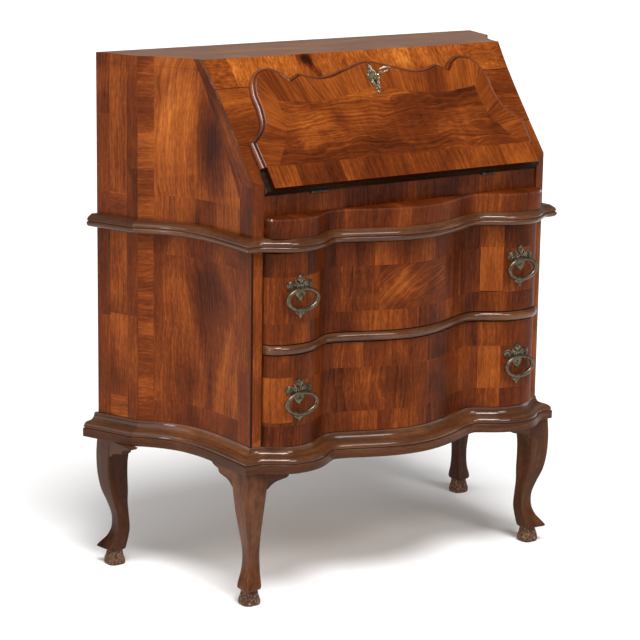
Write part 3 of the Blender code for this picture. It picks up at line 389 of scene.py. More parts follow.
WALNUT_STOPS = (
    (0.0, (0.018, 0.0043, 0.0013)),
    (0.25, (0.05, 0.0092, 0.0017)),
    (0.5, (0.128, 0.0248, 0.0038)),
    (0.75, (0.285, 0.068, 0.009)),
    (1.0, (0.5, 0.155, 0.024)),
)
DARK_STOPS = (
    (0.0, (0.014, 0.005, 0.0022)),
    (0.5, (0.072, 0.0245, 0.0088)),
    (1.0, (0.2, 0.074, 0.026)),
)
LEG_STOPS = (
    (0.0, (0.014, 0.0046, 0.002)),
    (0.5, (0.066, 0.0225, 0.009)),
    (1.0, (0.2, 0.075, 0.03)),
)
TOP_STOPS = (
    (0.0, (0.085, 0.032, 0.014)),
    (0.5, (0.2, 0.085, 0.042)),
    (1.0, (0.36, 0.17, 0.085)),
)
WORN_STOPS = (
    (0.0, (0.02, 0.009, 0.005)),
    (0.5, (0.085, 0.042, 0.024)),
    (0.72, (0.17, 0.1, 0.062)),
    (1.0, (0.5, 0.38, 0.26)),
)
# Near black, painted as the shadow under the fall's foot.
PAINTED_SHADOW_STOPS = ((0.0, (0.004, 0.002, 0.001)), (0.5, (0.009, 0.0042, 0.0022)), (1.0, (0.03, 0.012, 0.006)))
PINE_STOPS = ((0.0, (0.16, 0.075, 0.03)), (0.5, (0.33, 0.185, 0.085)), (1.0, (0.5, 0.31, 0.16)))
BRONZE_STOPS = ((0.0, (0.028, 0.021, 0.012)), (0.5, (0.105, 0.081, 0.049)), (1.0, (0.3, 0.245, 0.155)))
RING_STOPS = ((0.0, (0.055, 0.04, 0.025)), (0.5, (0.105, 0.078, 0.05)), (1.0, (0.19, 0.148, 0.1)))
BRASS_STOPS = ((0.0, (0.04, 0.031, 0.018)), (0.5, (0.24, 0.195, 0.12)), (1.0, (0.6, 0.52, 0.37)))
IRON_STOPS = ((0.0, (0.012, 0.01, 0.009)), (0.5, (0.06, 0.052, 0.045)), (1.0, (0.16, 0.145, 0.125)))
STEEL_STOPS = ((0.0, (0.16, 0.12, 0.075)), (0.5, (0.5, 0.41, 0.29)), (1.0, (0.78, 0.69, 0.54)))
VENEER = VeneerFinish("veneer", WALNUT_STOPS)
SIDE_VENEER = VeneerFinish("side_veneer", WALNUT_STOPS, coat=0.13, coat_roughness=0.2)
BURR = VeneerFinish("burr", WALNUT_STOPS, lines=70.0, contrast=0.24, burr=0.45, cloud=0.6, fleck=0.7,
                    swirl=24.0)
SOLID = VeneerFinish("moulding_wood", DARK_STOPS, lines=110.0, contrast=0.8, cloud=1.0, swirl=6.0,
                     roughness=0.36, specular=0.08, coat=0.6, coat_roughness=0.1)
TOP = VeneerFinish("top_veneer", TOP_STOPS, cloud=0.8, roughness=0.36, specular=0.2, coat=0.22)
LEG_WOOD = VeneerFinish("leg_wood", LEG_STOPS, lines=110.0, contrast=0.7, cloud=0.9, swirl=6.0,
                        roughness=0.4, specular=0.05, coat=0.14, coat_roughness=0.15)
ARRIS = VeneerFinish("polished_arris", WALNUT_STOPS, roughness=0.28, specular=0.25, coat=0.9,
                     coat_roughness=0.09)
POLISHED = VeneerFinish("polished_edge", WALNUT_STOPS, roughness=0.34, specular=0.2, coat=0.9,
                        coat_roughness=0.27)
WORN = MottledFinish("worn_hoof", WORN_STOPS, 0.5, 0.0, 0.08, 260.0)
WALNUT_ACROSS = BoardFinish("walnut_across", WALNUT_STOPS, Lie.ACROSS, 0.42)
WALNUT_UP = BoardFinish("walnut_upright", WALNUT_STOPS, Lie.UP, 0.42)
WALNUT_DARK = BoardFinish("walnut_dark_across", DARK_STOPS, Lie.ACROSS, 0.45)
PAINTED_SHADOW = BoardFinish("painted_shadow_edge", PAINTED_SHADOW_STOPS, Lie.ACROSS, 0.55)
PINE_ACROSS = BoardFinish("pine_across", PINE_STOPS, Lie.ACROSS, 0.66)
PINE_BACK = BoardFinish("pine_lengthways", PINE_STOPS, Lie.BACK, 0.66)
PINE_UP = BoardFinish("pine_upright", PINE_STOPS, Lie.UP, 0.66)
BRONZE = MottledFinish("bronze", BRONZE_STOPS, 0.34, 0.8)
RING_BRONZE = MottledFinish("ring_bronze", RING_STOPS, 0.32, 0.85)
OLD_BRASS = MottledFinish("old_brass", BRASS_STOPS, 0.34, 0.8)
IRON = MottledFinish("iron", IRON_STOPS, 0.5, 0.9)
STEEL = MottledFinish("key_metal", STEEL_STOPS, 0.3, 0.95)


class Run:
    """A line of points that is measured along its length."""

    def __init__(self, points: Iterable[Sequence[float]]) -> None:
        """Measures the line.

        Args:
            points: Its points in order.
        """
        self.points = [Vector(point) for point in points]
        self.marks = [0.0]
        for near, far in zip(self.points, self.points[1:]):
            self.marks.append(self.marks[-1] + (far - near).length)

    @property
    def length(self) -> float:
        """Whole length of the line."""
        return self.marks[-1]

    def at(self, along: float) -> Vector:
        """Point at a length.

        Args:
            along: Length from the first point.

        Returns:
            The point there.
        """
        index = min(max(bisect.bisect_right(self.marks, along) - 1, 0), len(self.points) - 2)
        share = (along - self.marks[index]) / (self.marks[index + 1] - self.marks[index])
        return self.points[index].lerp(self.points[index + 1], share)

    def normal(self, along: float) -> Vector:
        """Unit step to the outer side of a plan line that runs forward on the right.

        Args:
            along: Length from the first point.

        Returns:
            The step, in plan.
        """
        reach = 0.0005
        way = self.at(min(along + reach, self.length)) - self.at(max(along - reach, 0.0))
        return Vector((way.y, -way.x)).normalized()


def ease(start: float, end: float, share: float) -> float:
    """A value that leaves start and reaches end level.

    Args:
        start: First value.
        end: Last value.
        share: Share of the way.

    Returns:
        The value there.
    """
    return start + (end - start) * (1 - math.cos(math.pi * share)) / 2


def crossing(line: Sequence[Vector], axis: int, value: float) -> float:
    """Where a plan line reaches a value of one coordinate.

    Args:
        line: Points along which that coordinate grows.
        axis: Index of the coordinate.
        value: Its value.

    Returns:
        The other coordinate there, or at the nearer end.
    """
    other = 1 - axis
    value = min(max(value, line[0][axis]), line[-1][axis])
    for near, far in zip(line, line[1:]):
        if near[axis] <= value <= far[axis]:
            share = (value - near[axis]) / (far[axis] - near[axis])
            return near[other] + (far[other] - near[other]) * share
    return line[-1][other]


def rounded(points: Sequence[Vector], corners: Sequence[bool], steps: int) -> list[Vector]:
    """A smooth line through points.

    Args:
        points: Points that the line passes.
        corners: Whether it turns sharply at each of them.
        steps: Steps between two points.

    Returns:
        The line's points.
    """
    soft, most = 2.5614, 5
    handles = []
    for index, here in enumerate(points):
        before = here - points[max(index - 1, 0)]
        after = points[min(index + 1, len(points) - 1)] - here
        near, far = before.length, after.length
        if corners[index] or not near or not far:
            handles.append((here - before / 3, here + after / 3))
            continue
        lean = before / near + after / far
        size = max(lean.length * soft, 1e-9)
        near, far = min(near, most * far), min(far, most * near)
        handles.append((here - lean * near / size, here + lean * far / size))
    line = []
    for index in range(len(points) - 1):
        first, last = points[index], points[index + 1]
        leave, reach = handles[index][1], handles[index + 1][0]
        for step in range(steps):
            t = step / steps
            line.append(first * (1 - t) ** 3 + leave * (3 * t * (1 - t) ** 2)
                        + reach * (3 * t * t * (1 - t)) + last * t**3)
    return [*line, points[-1].copy()]


def mirrored(shares: Knots, half_width: float, half_height: float) -> list[Vector]:
    """A whole outline from the shares of its right half.

    Args:
        shares: Shares of the half width and half height, and whether the line turns sharply there.
        half_width: Half of the whole width.
        half_height: Half of the whole height.

    Returns:
        The outline's points.
    """
    knots = [Vector((x * half_width, z * half_height)) for x, z, _ in shares]
    right = rounded(knots, [sharp for _, _, sharp in shares], 3)
    return right + [Vector((-point.x, point.y)) for point in right[-2:0:-1]]


@dataclass(frozen=True)
class CasePlan:
    """Plan and heights of the case, as the frame has them."""

    rear_y: float = 0.21475
    rear_half: float = 0.452
    stile_half: float = 0.4203
    stile_depth: float = 0.0968
    front_half: float = 0.3445
    corner_depth: float = 0.3674
    sweep_in: float = 0.0853
    sweep_forward: float = 0.0782
    straight: float = 0.1174
    side_thick: float = 0.022
    opening_half: float = 0.3225
    opening_depth: float = 0.373
    lobe_x: float = 0.268
    lobe_span: float = 0.1
    lobe_depth: float = 0.4035
    hollow_depth: float = 0.365
    bow_depth: float = 0.4135
    lobe_turn: float = 1.35
    bow_fullness: float = 0.8
    bead_back: float = 0.3505
    leg_height: float = 0.259
    base_top: float = 0.3036
    bead_bottom: float = 0.4775
    bead_top: float = 0.4965
    waist_bottom: float = 0.667
    waist_top: float = 0.6947
    frieze_top: float = 0.731
    hinge_z: float = 0.7685
    under_top: float = 0.9817
    height: float = 1.0
    gap: float = 0.0003
    drawer_gap: float = 0.001
    slope_angle: float = math.radians(52.5)
    slope_depth: float = 0.21177
    steps: int = 36

    def place(self, point: Vector, z: float) -> Vector:
        """World place of a plan point at a height."""
        return Vector((point.x, self.rear_y - point.y, z))

    def side_line(self) -> list[Vector]:
        """Outer line of the right side.

        Returns:
            Plan points from the stile's edge to the front corner.
        """
        start = Vector((self.stile_half, self.stile_depth))
        end = Vector((self.front_half, self.corner_depth))
        first = start + Vector((-self.sweep_in, self.sweep_forward))
        second = end - Vector((0, self.straight))
        line = []
        for step in range(self.steps + 1):
            t = step / self.steps
            line.append(start * (1 - t) ** 3 + first * (3 * t * (1 - t) ** 2) + second * (3 * t * t * (1 - t))
                        + end * t**3)
        return line

    def wave_line(self) -> list[Vector]:
        """Serpentine from just inside the right lobe to the centre line.

        Returns:
            Plan points.
        """
        hollow_x = self.lobe_x - self.lobe_span
        shares = [step / self.steps for step in range(1, self.steps + 1)]
        line = []
        for share in shares:
            depth = ease(self.lobe_depth, self.hollow_depth, share**self.lobe_turn)
            line.append(Vector((self.lobe_x - self.lobe_span * share, depth)))
        for share in shares:
            depth = ease(self.hollow_depth, self.bow_depth, share**self.bow_fullness)
            line.append(Vector((hollow_x * (1 - share), depth)))
        return line

    def drawer_line(self) -> list[Vector]:
        """Face of the drawers, with rounded ends.

        Returns:
            Plan points from the left end to the right one.
        """
        inset = self.opening_half - self.lobe_x
        proud = self.lobe_depth - self.opening_depth
        right = []
        for step in range(self.steps + 1):
            angle = math.pi / 2 * step / self.steps
            right.append(Vector((self.lobe_x + inset * math.cos(angle),
                                 self.opening_depth + proud * math.sin(angle))))
        right += self.wave_line()
        return [Vector((-point.x, point.y)) for point in right] + right[-2::-1]

    def case_line(self) -> list[Vector]:
        """Line that the mouldings follow.

        Returns:
            Plan points from the right rear corner round the front to the left one.
        """
        right = [Vector((self.rear_half, 0.0)), *self.side_line()]
        half = self.steps // 2
        for step in range(1, half + 1):
            share = step / half
            x = self.front_half + (self.lobe_x - self.front_half) * share
            right.append(Vector((x, ease(self.corner_depth, self.lobe_depth, share))))
        right += self.wave_line()
        return right + [Vector((-point.x, point.y)) for point in right[-2::-1]]

    def slope_frame(self) -> Matrix:
        """Frame of the slope: x along the cabinet, y up the slope, z out of its face."""
        turn = Matrix.Rotation(self.slope_angle, 4, "X")
        return Matrix.Translation((0, self.rear_y - self.slope_depth, self.height)) @ turn

    def on_slope(self, x: float, drop: float, out: float) -> Vector:
        """World place of a point on the slope, by its drop below the top edge."""
        return self.slope_frame() @ Vector((x, -drop, out))

    def slope_axis(self, axis: int) -> Vector:
        """Direction of one axis of the slope's frame."""
        return self.slope_frame().to_3x3().col[axis].copy()

    def on_hand(self, hand: Hand, point: Vector, z: float) -> Vector:
        """World place of a plan point of the right side, on either hand."""
        return self.place(Vector((point.x * hand.value, point.y)), z)

    def half_at(self, depth: float) -> float:
        """Half width of the case at a depth from the back."""
        return crossing([Vector((self.rear_half, 0.0)), *self.side_line()], 1, depth)

    def half_at_drop(self, drop: float) -> float:
        """Half width of the case where the slope has dropped so far."""
        return self.half_at(self.slope_depth + drop * math.cos(self.slope_angle))


PLAN = CasePlan()


@dataclass(frozen=True)
class Stain:
    """A soft dark or light place in the tone, for figure or for painted light and shade, in millimetres on a
    blank.
    """

    x: float
    y: float
    half_width: float
    half_height: float
    tone: float
    turn: float = 0.0

    def at(self, place: Vector) -> float:
        """Change of tone at a point.

        Args:
            place: Point of the blank, in metres.

        Returns:
            The change there.
        """
        away = Vector((place.x * 1000 - self.x, place.y * 1000 - self.y))
        turn = math.radians(self.turn)
        across = (away.x * math.cos(turn) + away.y * math.sin(turn)) / self.half_width
        along = (away.y * math.cos(turn) - away.x * math.sin(turn)) / self.half_height
        return self.tone * math.exp(-(across * across + along * along))


@dataclass(frozen=True)
class Sheet:
    """One sheet of veneer on a blank, or a strip of painted light or shade laid the same way.

    Attributes:
        corners: Convex outline in the blank's own metres.
        grain: Angle of the grain from the blank's first axis, in degrees.
        tone: Lighter above zero, darker below.
        figure: From 0, plain, to 1, burr.
        sweep: Bend of the grain, in metres per square metre.
    """

    corners: tuple[Point, ...]
    grain: float = 90.0
    tone: float = 0.0
    figure: float = 0.15
    sweep: float = 0.0

    @classmethod
    def block(cls, left: float, right: float, low: float, high: float, tone: float, figure: float,
              grain: float = 90.0, sweep: float = 0.0) -> "Sheet":
        """A sheet with square corners, in millimetres."""
        corners = ((left, low), (right, low), (right, high), (left, high))
        return cls.shape(corners, grain=grain, tone=tone, figure=figure, sweep=sweep)

    @classmethod
    def shape(cls, corners: Iterable[Point], **looks: float) -> "Sheet":
        """A sheet with an outline that turns left, in millimetres."""
        return cls(tuple((x / 1000, y / 1000) for x, y in corners), **looks)

    def joints(self) -> list[tuple[Vector, Vector]]:
        """Edges of the sheet.

        Returns:
            A point and the outward normal of each.
        """
        found = []
        for (ax, ay), (bx, by) in zip(self.corners, self.corners[1:] + self.corners[:1]):
            found.append((Vector((ax, ay, 0)), Vector((by - ay, ax - bx, 0)).normalized()))
        return found

    def holds(self, place: Vector) -> bool:
        """Whether a point of the blank lies on the sheet."""
        return all((place - point).dot(normal) <= NEAR for point, normal in self.joints())

    def touches(self, face: bmesh.types.BMFace) -> bool:
        """Whether a face of the blank may reach the sheet.

        Args:
            face: The face.

        Returns:
            True if their boxes meet.
        """
        margin = NEAR * 10
        for axis in (0, 1):
            mine = [corner[axis] for corner in self.corners]
            its = [vert.co[axis] for vert in face.verts]
            if max(its) < min(mine) - margin or min(its) > max(mine) + margin:
                return False
        return True


def veneer_layers(mesh: Mesh) -> tuple:
    """Layers that the veneer finish reads.

    Args:
        mesh: Mesh that gets them.

    Returns:
        The UV, tone and figure layers.
    """
    uv = mesh.loops.layers.uv.get(GRAIN) or mesh.loops.layers.uv.new(GRAIN)
    tone = mesh.loops.layers.float.get(TONE) or mesh.loops.layers.float.new(TONE)
    figure = mesh.faces.layers.float.get(FIGURE) or mesh.faces.layers.float.new(FIGURE)
    return uv, tone, figure


def cut(mesh: Mesh, geometry: Iterable, point: Vector, normal: Vector, clear: bool = False) -> None:
    """Cuts a mesh along a plane.

    Args:
        mesh: The mesh.
        geometry: Its parts that are cut.
        point: Point of the plane.
        normal: Normal of the plane.
        clear: Whether what lies beyond it goes.
    """
    bmesh.ops.bisect_plane(mesh, geom=list(geometry), dist=NEAR, plane_co=point, plane_no=normal,
                           clear_outer=clear)


def parts_of(mesh: Mesh) -> list:
    """All the parts of a mesh."""
    return [*mesh.verts, *mesh.edges, *mesh.faces]


def extruded(mesh: Mesh, faces: Iterable[bmesh.types.BMFace], step: Sequence[float]) -> list:
    """Extrudes faces to a closed body.

    Args:
        mesh: The mesh.
        faces: The faces, which stay.
        step: How far the new faces move.

    Returns:
        The new parts.
    """
    made = bmesh.ops.extrude_face_region(mesh, geom=list(faces), use_keep_orig=True)["geom"]
    bmesh.ops.translate(mesh, vec=step, verts=[item for item in made if isinstance(item, bmesh.types.BMVert)])
    return made


def timber_place(draw: random.Random) -> Vector:
    """A place in the timber, for a sheet's pattern."""
    return Vector((draw.uniform(0, TIMBER), draw.uniform(0, TIMBER)))


class Blank:
    """A flat blank that is cut into sheets, laid with its grain, bent to its place and made solid."""

    def __init__(self, low: Point, high: Point, step: Point) -> None:
        """Makes the blank.

        Args:
            low: Lowest corner in the blank's own metres.
            high: Highest corner.
            step: Size of its cells.
        """
        self.mesh = bmesh.new()
        size = [high[axis] - low[axis] for axis in (0, 1)]
        count = [max(1, round(size[axis] / step[axis])) for axis in (0, 1)]
        bmesh.ops.create_grid(self.mesh, x_segments=count[0], y_segments=count[1], size=0.5)
        bmesh.ops.scale(self.mesh, vec=(size[0], size[1], 1), verts=self.mesh.verts)
        middle = [(high[axis] + low[axis]) / 2 for axis in (0, 1)]
        bmesh.ops.translate(self.mesh, vec=(*middle, 0), verts=self.mesh.verts)

    def lay(self, sheets: Sequence[Sheet], seed: int, stains: Sequence[Stain] = ()) -> "Blank":
        """Cuts the sheets' joints and gives each sheet its grain. Later sheets lie over earlier ones.

        Args:
            sheets: The sheets.
            seed: Seed of the places that the sheets are cut from.
            stains: Soft lighter or darker places, for figure or for painted light and shade.

        Returns:
            The blank.
        """
        for sheet in sheets:
            for point, normal in sheet.joints():
                faces = [face for face in self.mesh.faces if sheet.touches(face)]
                geometry = {item for face in faces for item in (face, *face.edges, *face.verts)}
                cut(self.mesh, geometry, point, normal)
        uv, tone, figure = veneer_layers(self.mesh)
        draw = random.Random(seed)
        shifts = [timber_place(draw) for _ in sheets]
        for face in self.mesh.faces:
            middle = face.calc_center_median()
            index = max((i for i, sheet in enumerate(sheets) if sheet.holds(middle)), default=0)
            sheet = sheets[index]
            face[figure] = sheet.figure
            turn = math.radians(sheet.grain)
            origin = Vector(sheet.corners[0])
            for loop in face.loops:
                away = loop.vert.co.xy - origin
                along = away.x * math.cos(turn) + away.y * math.sin(turn)
                across = away.y * math.cos(turn) - away.x * math.sin(turn) + sheet.sweep * along * along
                loop[uv].uv = shifts[index] + Vector((along, across))
                loop[tone] = sheet.tone + sum(tone_spot.at(loop.vert.co) for tone_spot in stains)
        return self

    def bend(self, place: Callable[[float, float], Vector], back: Callable[[float, float], Vector],
             backing: int = 0) -> "Blank":
        """Moves the face to its place and closes it with a back.

        Args:
            place: World place of a point of the blank.
            back: World place behind that point.
            backing: Material index of the back.

        Returns:
            The blank.
        """
        flat = [vert.co.copy() for vert in self.mesh.verts]
        front = list(self.mesh.verts)
        for item in extruded(self.mesh, self.mesh.faces, (0, 0, 0)):
            if isinstance(item, bmesh.types.BMFace):
                item.material_index = backing
            elif isinstance(item, bmesh.types.BMVert):
                item.co = back(item.co.x, item.co.y)
        for vert, spot in zip(front, flat):
            vert.co = place(spot.x, spot.y)
        return self

    def trim(self, point: Vector, normal: Vector) -> "Blank":
        """Cuts off what lies beyond a plane and closes the cut.

        Args:
            point: Point of the plane.
            normal: Normal towards the waste.

        Returns:
            The blank.
        """
        cut(self.mesh, parts_of(self.mesh), point, normal, True)
        rims = [edge for edge in self.mesh.edges if edge.is_boundary]
        bmesh.ops.holes_fill(self.mesh, edges=rims, sides=0)
        return self


class Sweep:
    """A profile carried along stations, with the grain along the way."""

    def __init__(self, sections: Sequence[Sequence[Vector]], looks: Callable[[float], Point] | None = None,
                 seed: int = 0, ring: bool = False) -> None:
        """Builds the swept skin.

        Args:
            sections: Closed sections with the same number of points.
            looks: Tone and figure by the length along the way.
            seed: Seed of the place in the timber.
            ring: Whether the last section joins the first.
        """
        self.mesh = bmesh.new()
        uv, tone, figure = veneer_layers(self.mesh)
        verts = [self.mesh.verts.new(place) for place in sections[0]]
        edges = [self.mesh.edges.new(pair) for pair in zip(verts, verts[1:] + verts[:1])]
        first = list(edges)
        along, place_of = 0.0, {}
        around = [0.0]
        for near, far in zip(sections[0], sections[0][1:]):
            around.append(around[-1] + (Vector(far) - Vector(near)).length)
        girth = around[-1] + (Vector(sections[0][-1]) - Vector(sections[0][0])).length
        self.note(place_of, verts, along, around)
        for before, section in zip(sections, sections[1:]):
            made = bmesh.ops.extrude_edge_only(self.mesh, edges=edges)["geom"]
            fresh = {item for item in made if isinstance(item, bmesh.types.BMVert)}
            edges = [item for item in made
                     if isinstance(item, bmesh.types.BMEdge) and set(item.verts) <= fresh]
            verts = [next(edge.other_vert(vert) for edge in vert.link_edges if edge.other_vert(vert) in fresh)
                     for vert in verts]
            for vert, spot in zip(verts, section):
                vert.co = spot
            along += max((Vector(b) - Vector(a)).length for a, b in zip(before, section))
            self.note(place_of, verts, along, around)
        if ring:
            bmesh.ops.bridge_loops(self.mesh, edges=first + edges)
        else:
            rims = [edge for edge in self.mesh.edges if edge.is_boundary]
            bmesh.ops.holes_fill(self.mesh, edges=rims, sides=0)
        shift = timber_place(random.Random(seed))
        for face in self.mesh.faces:
            spots = [place_of[loop.vert] for loop in face.loops]
            middle = sum(spot[0] for spot in spots) / len(spots)
            shade, face[figure] = looks(middle) if looks else (0.0, 0.2)
            wraps = max(spot[1] for spot in spots) - min(spot[1] for spot in spots) > girth / 2
            for loop, (length, across) in zip(face.loops, spots):
                turn = girth if wraps and across < girth / 2 else 0.0
                loop[uv].uv = shift + Vector((length, across + turn))
                loop[tone] = shade

    @staticmethod
    def note(place_of: dict, verts: Sequence, along: float, around: Sequence[float]) -> None:
        """Keeps the place of a section's points on the unrolled skin."""
        for vert, across in zip(verts, around):
            place_of[vert] = (along, across)


def box(size: Sequence[float], middle: Sequence[float]) -> Mesh:
    """A square block.

    Args:
        size: Its three sizes.
        middle: Its centre.

    Returns:
        The block's mesh.
    """
    mesh = bmesh.new()
    bmesh.ops.create_cube(mesh, size=1.0)
    bmesh.ops.scale(mesh, vec=size, verts=mesh.verts)
    bmesh.ops.translate(mesh, vec=middle, verts=mesh.verts)
    return mesh


def gather(meshes: Iterable[Mesh]) -> Mesh:
    """Joins several meshes into the first.

    Args:
        meshes: Meshes to join; all but the first are freed.

    Returns:
        The first mesh.
    """
    whole, *others = list(meshes)
    veneer_layers(whole)
    for other in others:
        veneer_layers(other)
        bmesh.ops.recalc_face_normals(other, faces=other.faces)
        carrier = bpy.data.meshes.new("carrier")
        other.to_mesh(carrier)
        other.free()
        whole.from_mesh(carrier)
        bpy.data.meshes.remove(carrier)
    return whole


def set_piece(name: str, mesh: Mesh, finishes: Sequence[Finish], body: str, slot: Slot,
              stands_for: Sequence[str] = (), crease: float = 32.0) -> bpy.types.Object:
    """Makes a finished piece of a mesh and hands it to the frame.

    Args:
        name: Name of the piece.
        mesh: Its mesh, which is freed.
        finishes: Finishes by material index.
        body: Body that it moves with.
        slot: The record's material slot; it is not used.
        stands_for: Nodes that it replaces.
        crease: Angle in degrees above which an edge stays sharp.

    Returns:
        The piece's object.
    """
    bmesh.ops.remove_doubles(mesh, verts=mesh.verts, dist=NEAR * 2)
    bmesh.ops.dissolve_degenerate(mesh, edges=mesh.edges, dist=NEAR / 10)
    bmesh.ops.recalc_face_normals(mesh, faces=mesh.faces)
    data = bpy.data.meshes.new(name)
    mesh.to_mesh(data)
    mesh.free()
    data.shade_smooth()
    data.set_sharp_from_angle(angle=math.radians(crease))
    for finish in finishes:
        data.materials.append(finish.build())
    piece = bpy.data.objects.new(name, data)
    bpy.context.scene.collection.objects.link(piece)
    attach(piece, body)
    if stands_for:
        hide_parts(*stands_for)
    LOG.info("%s on %s: %d faces", name, body, len(data.polygons))
    return piece


def outward(line: Sequence[Vector]) -> list[Vector]:
    """Mitred steps that move a plan line out by one metre of offset; its ends stay in the back's plane.

    Args:
        line: Plan points from the right rear corner round the front.

    Returns:
        A step for each point.
    """
    normals = []
    for here, there in zip(line, line[1:]):
        along = (there - here).normalized()
        normals.append(Vector((along.y, -along.x)))
    steps = [Vector((1 / normals[0].x, 0))]
    for before, after in zip(normals, normals[1:]):
        steps.append((before + after) / (1 + before.dot(after)))
    return [*steps, Vector((1 / normals[-1].x, 0))]


@dataclass
class CaseSides:
    """Veneered sides with their corner posts, canted rear stiles and the top."""

    plan: CasePlan = PLAN
    lip: float = 0.0063
    edge_thick: float = 0.003
    edge_lap: float = 1.5
    edge_step: float = 0.0001
    top_lift: float = 0.0003
    top_cell: Point = (0.02, 0.004)
    cheek_top: float = 0.1816
    cheek_tone: float = 0.14
    cell: Point = (0.006, 0.03)

    def side_sheets(self) -> list[Sheet]:
        """Veneers of a side, by the length from the stile and the height, with two strips of painted shade
        beside the post strip.

        Returns:
            The sheets, in millimetres.
        """
        return [
            Sheet.block(-5, 330, 290, 1010, -0.06, 0.35),
            Sheet.block(32, 330, 742, 1010, 0.12, 0.45, 98, 0.9),
            Sheet.shape(((262, 742), (330, 742), (330, 752), (125, 1020), (112, 1005)), grain=-55, tone=-0.12,
                        figure=0.3),
            Sheet.block(0, 32, 694, 862, 0.14, 0.25, 2),
            Sheet.block(0, 32, 862, 942, -0.02, 0.25, 4),
            Sheet.block(0, 32, 942, 1010, 0.02, 0.25, -3),
            Sheet.block(32, 118, 690, 742, 0.1, 0.3),
            Sheet.block(118, 178, 690, 742, 0.0, 0.4),
            Sheet.block(178, 252, 690, 742, 0.1, 0.2),
            Sheet.block(252, 330, 690, 785, -0.14, 0.2),
            Sheet.block(32, 250, 345, 630, 0.0, 0.5, 84, -0.5),
            Sheet.block(30, 250, 630, 690, -0.03, 0.35),
            Sheet.block(30, 252, 300, 345, -0.1, 0.3),
            Sheet.block(250, 293, 440, 690, -0.16, 0.2),
            Sheet.block(250, 293, 300, 440, -0.04, 0.2),
            Sheet.block(0, 30, 300, 398, 0.0, 0.5, 2),
            Sheet.block(0, 30, 398, 505, -0.08, 0.6, -2),
            Sheet.block(0, 30, 505, 610, -0.01, 0.5, 3),
            Sheet.block(0, 30, 610, 690, 0.03, 0.4, 0),
            Sheet.block(293, 330, 290, 1010, 0.05, 0.1),
            # Two near-black strips along the edges of the post strip: painted shade in the gaps beside it.
            Sheet.block(291.4, 296.3, 304, 668, -0.85, 0.0),
            Sheet.block(312.4, 316, 304, 668, -0.85, 0.0),
        ]

    def side_stains(self) -> list[Stain]:
        """Flames in the figure of a side, in millimetres, and a painted sheen near the top of the hollow."""
        return [
            # The spot at 58, 985 mm is a painted sheen: a pale patch near the top of the hollow that stands
            # for a reflection.
            Stain(72, 870, 42, 110, 0.34, -8), Stain(58, 985, 34, 26, 0.16),
            Stain(112, 905, 14, 60, 0.2, -10), Stain(163, 850, 30, 95, -0.5, 8),
            Stain(196, 790, 30, 55, -0.24, 12), Stain(205, 880, 12, 60, 0.14, 32),
            Stain(60, 480, 30, 110, 0.16), Stain(76, 600, 30, 44, 0.2), Stain(146, 545, 40, 90, -0.24),
            Stain(214, 470, 13, 70, 0.3, -16), Stain(190, 640, 18, 40, 0.14, -20),
            Stain(236, 400, 14, 60, 0.14, -6), Stain(120, 590, 50, 18, -0.14),
            Stain(100, 400, 60, 22, -0.1), Stain(175, 430, 14, 70, -0.12, -10),
        ]

    def stile_sheets(self) -> list[Sheet]:
        """Veneers of a rear stile, by the length from the rear corner and the height.

        Returns:
            The sheets, in millimetres.
        """
        return [
            Sheet.block(-5, 110, 290, 1010, -0.12, 0.2),
            Sheet.block(33, 75, 740, 1010, 0.06, 0.35, sweep=0.08),
            Sheet.block(33, 75, 692, 740, 0.16, 0.1, 0),
            Sheet.block(33, 75, 506, 692, 0.0, 0.35),
            Sheet.block(33, 75, 345, 506, -0.12, 0.35),
            Sheet.block(33, 75, 300, 345, 0.14, 0.15, 4),
            Sheet.block(0, 33, 887, 1010, -0.2, 0.2),
            Sheet.block(0, 33, 740, 887, -0.1, 0.2),
            Sheet.block(0, 33, 500, 692, -0.1, 0.25),
            Sheet.block(0, 33, 300, 500, -0.06, 0.25),
            Sheet.block(75, 110, 789, 887, -0.18, 0.2),
            Sheet.block(75, 110, 887, 1010, -0.1, 0.25),
            Sheet.block(75, 110, 692, 789, -0.16, 0.2),
            Sheet.block(75, 110, 506, 692, -0.12, 0.3),
            Sheet.block(75, 110, 300, 506, -0.05, 0.3),
        ]

    def side_blank(self, hand: Hand, low: float, high: float, thick: float, post: bool) -> Blank:
        """A length of a side between two heights.

        Args:
            hand: Side of the cabinet.
            low: Lower end.
            high: Upper end.
            thick: Thickness.
            post: Whether the corner post's face goes with it.

        Returns:
            The blank, bent to its place.
        """
        plan, run = self.plan, Run(self.plan.side_line())
        corner = Vector((plan.front_half, plan.corner_depth))
        inner_corner = Vector((plan.opening_half, plan.opening_depth))
        post_length = (inner_corner - corner).length if post else 0.0

        def face(along: float) -> Vector:
            """Plan point of the face."""
            if along <= run.length:
                return run.at(along)
            return corner.lerp(inner_corner, (along - run.length) / post_length)

        def behind(along: float) -> Vector:
            """Plan point behind the face."""
            if along <= run.length:
                return run.at(along) - run.normal(along) * thick
            share = (along - run.length) / post_length
            return Vector((inner_corner.x, corner.y)).lerp(inner_corner, share)

        blank = Blank((0.0, low), (run.length + post_length, high), self.cell)
        cut(blank.mesh, parts_of(blank.mesh), Vector((run.length, 0, 0)), Vector((1, 0, 0)))
        seed = 11 if hand is Hand.LEFT else 23
        blank.lay(self.side_sheets(), seed, self.side_stains())
        return blank.bend(lambda along, z: plan.on_hand(hand, face(along), z),
                          lambda along, z: plan.on_hand(hand, behind(along), z))

    def stile_blank(self, hand: Hand, low: float, high: float, thick: float) -> Blank:
        """A length of a rear stile between two heights.

        Args:
            hand: Side of the cabinet.
            low: Lower end.
            high: Upper end.
            thick: Thickness.

        Returns:
            The blank, bent to its place.
        """
        plan = self.plan
        run = Run(((plan.rear_half, 0.0), (plan.stile_half, plan.stile_depth)))
        inward = run.normal(run.length / 2) * -thick

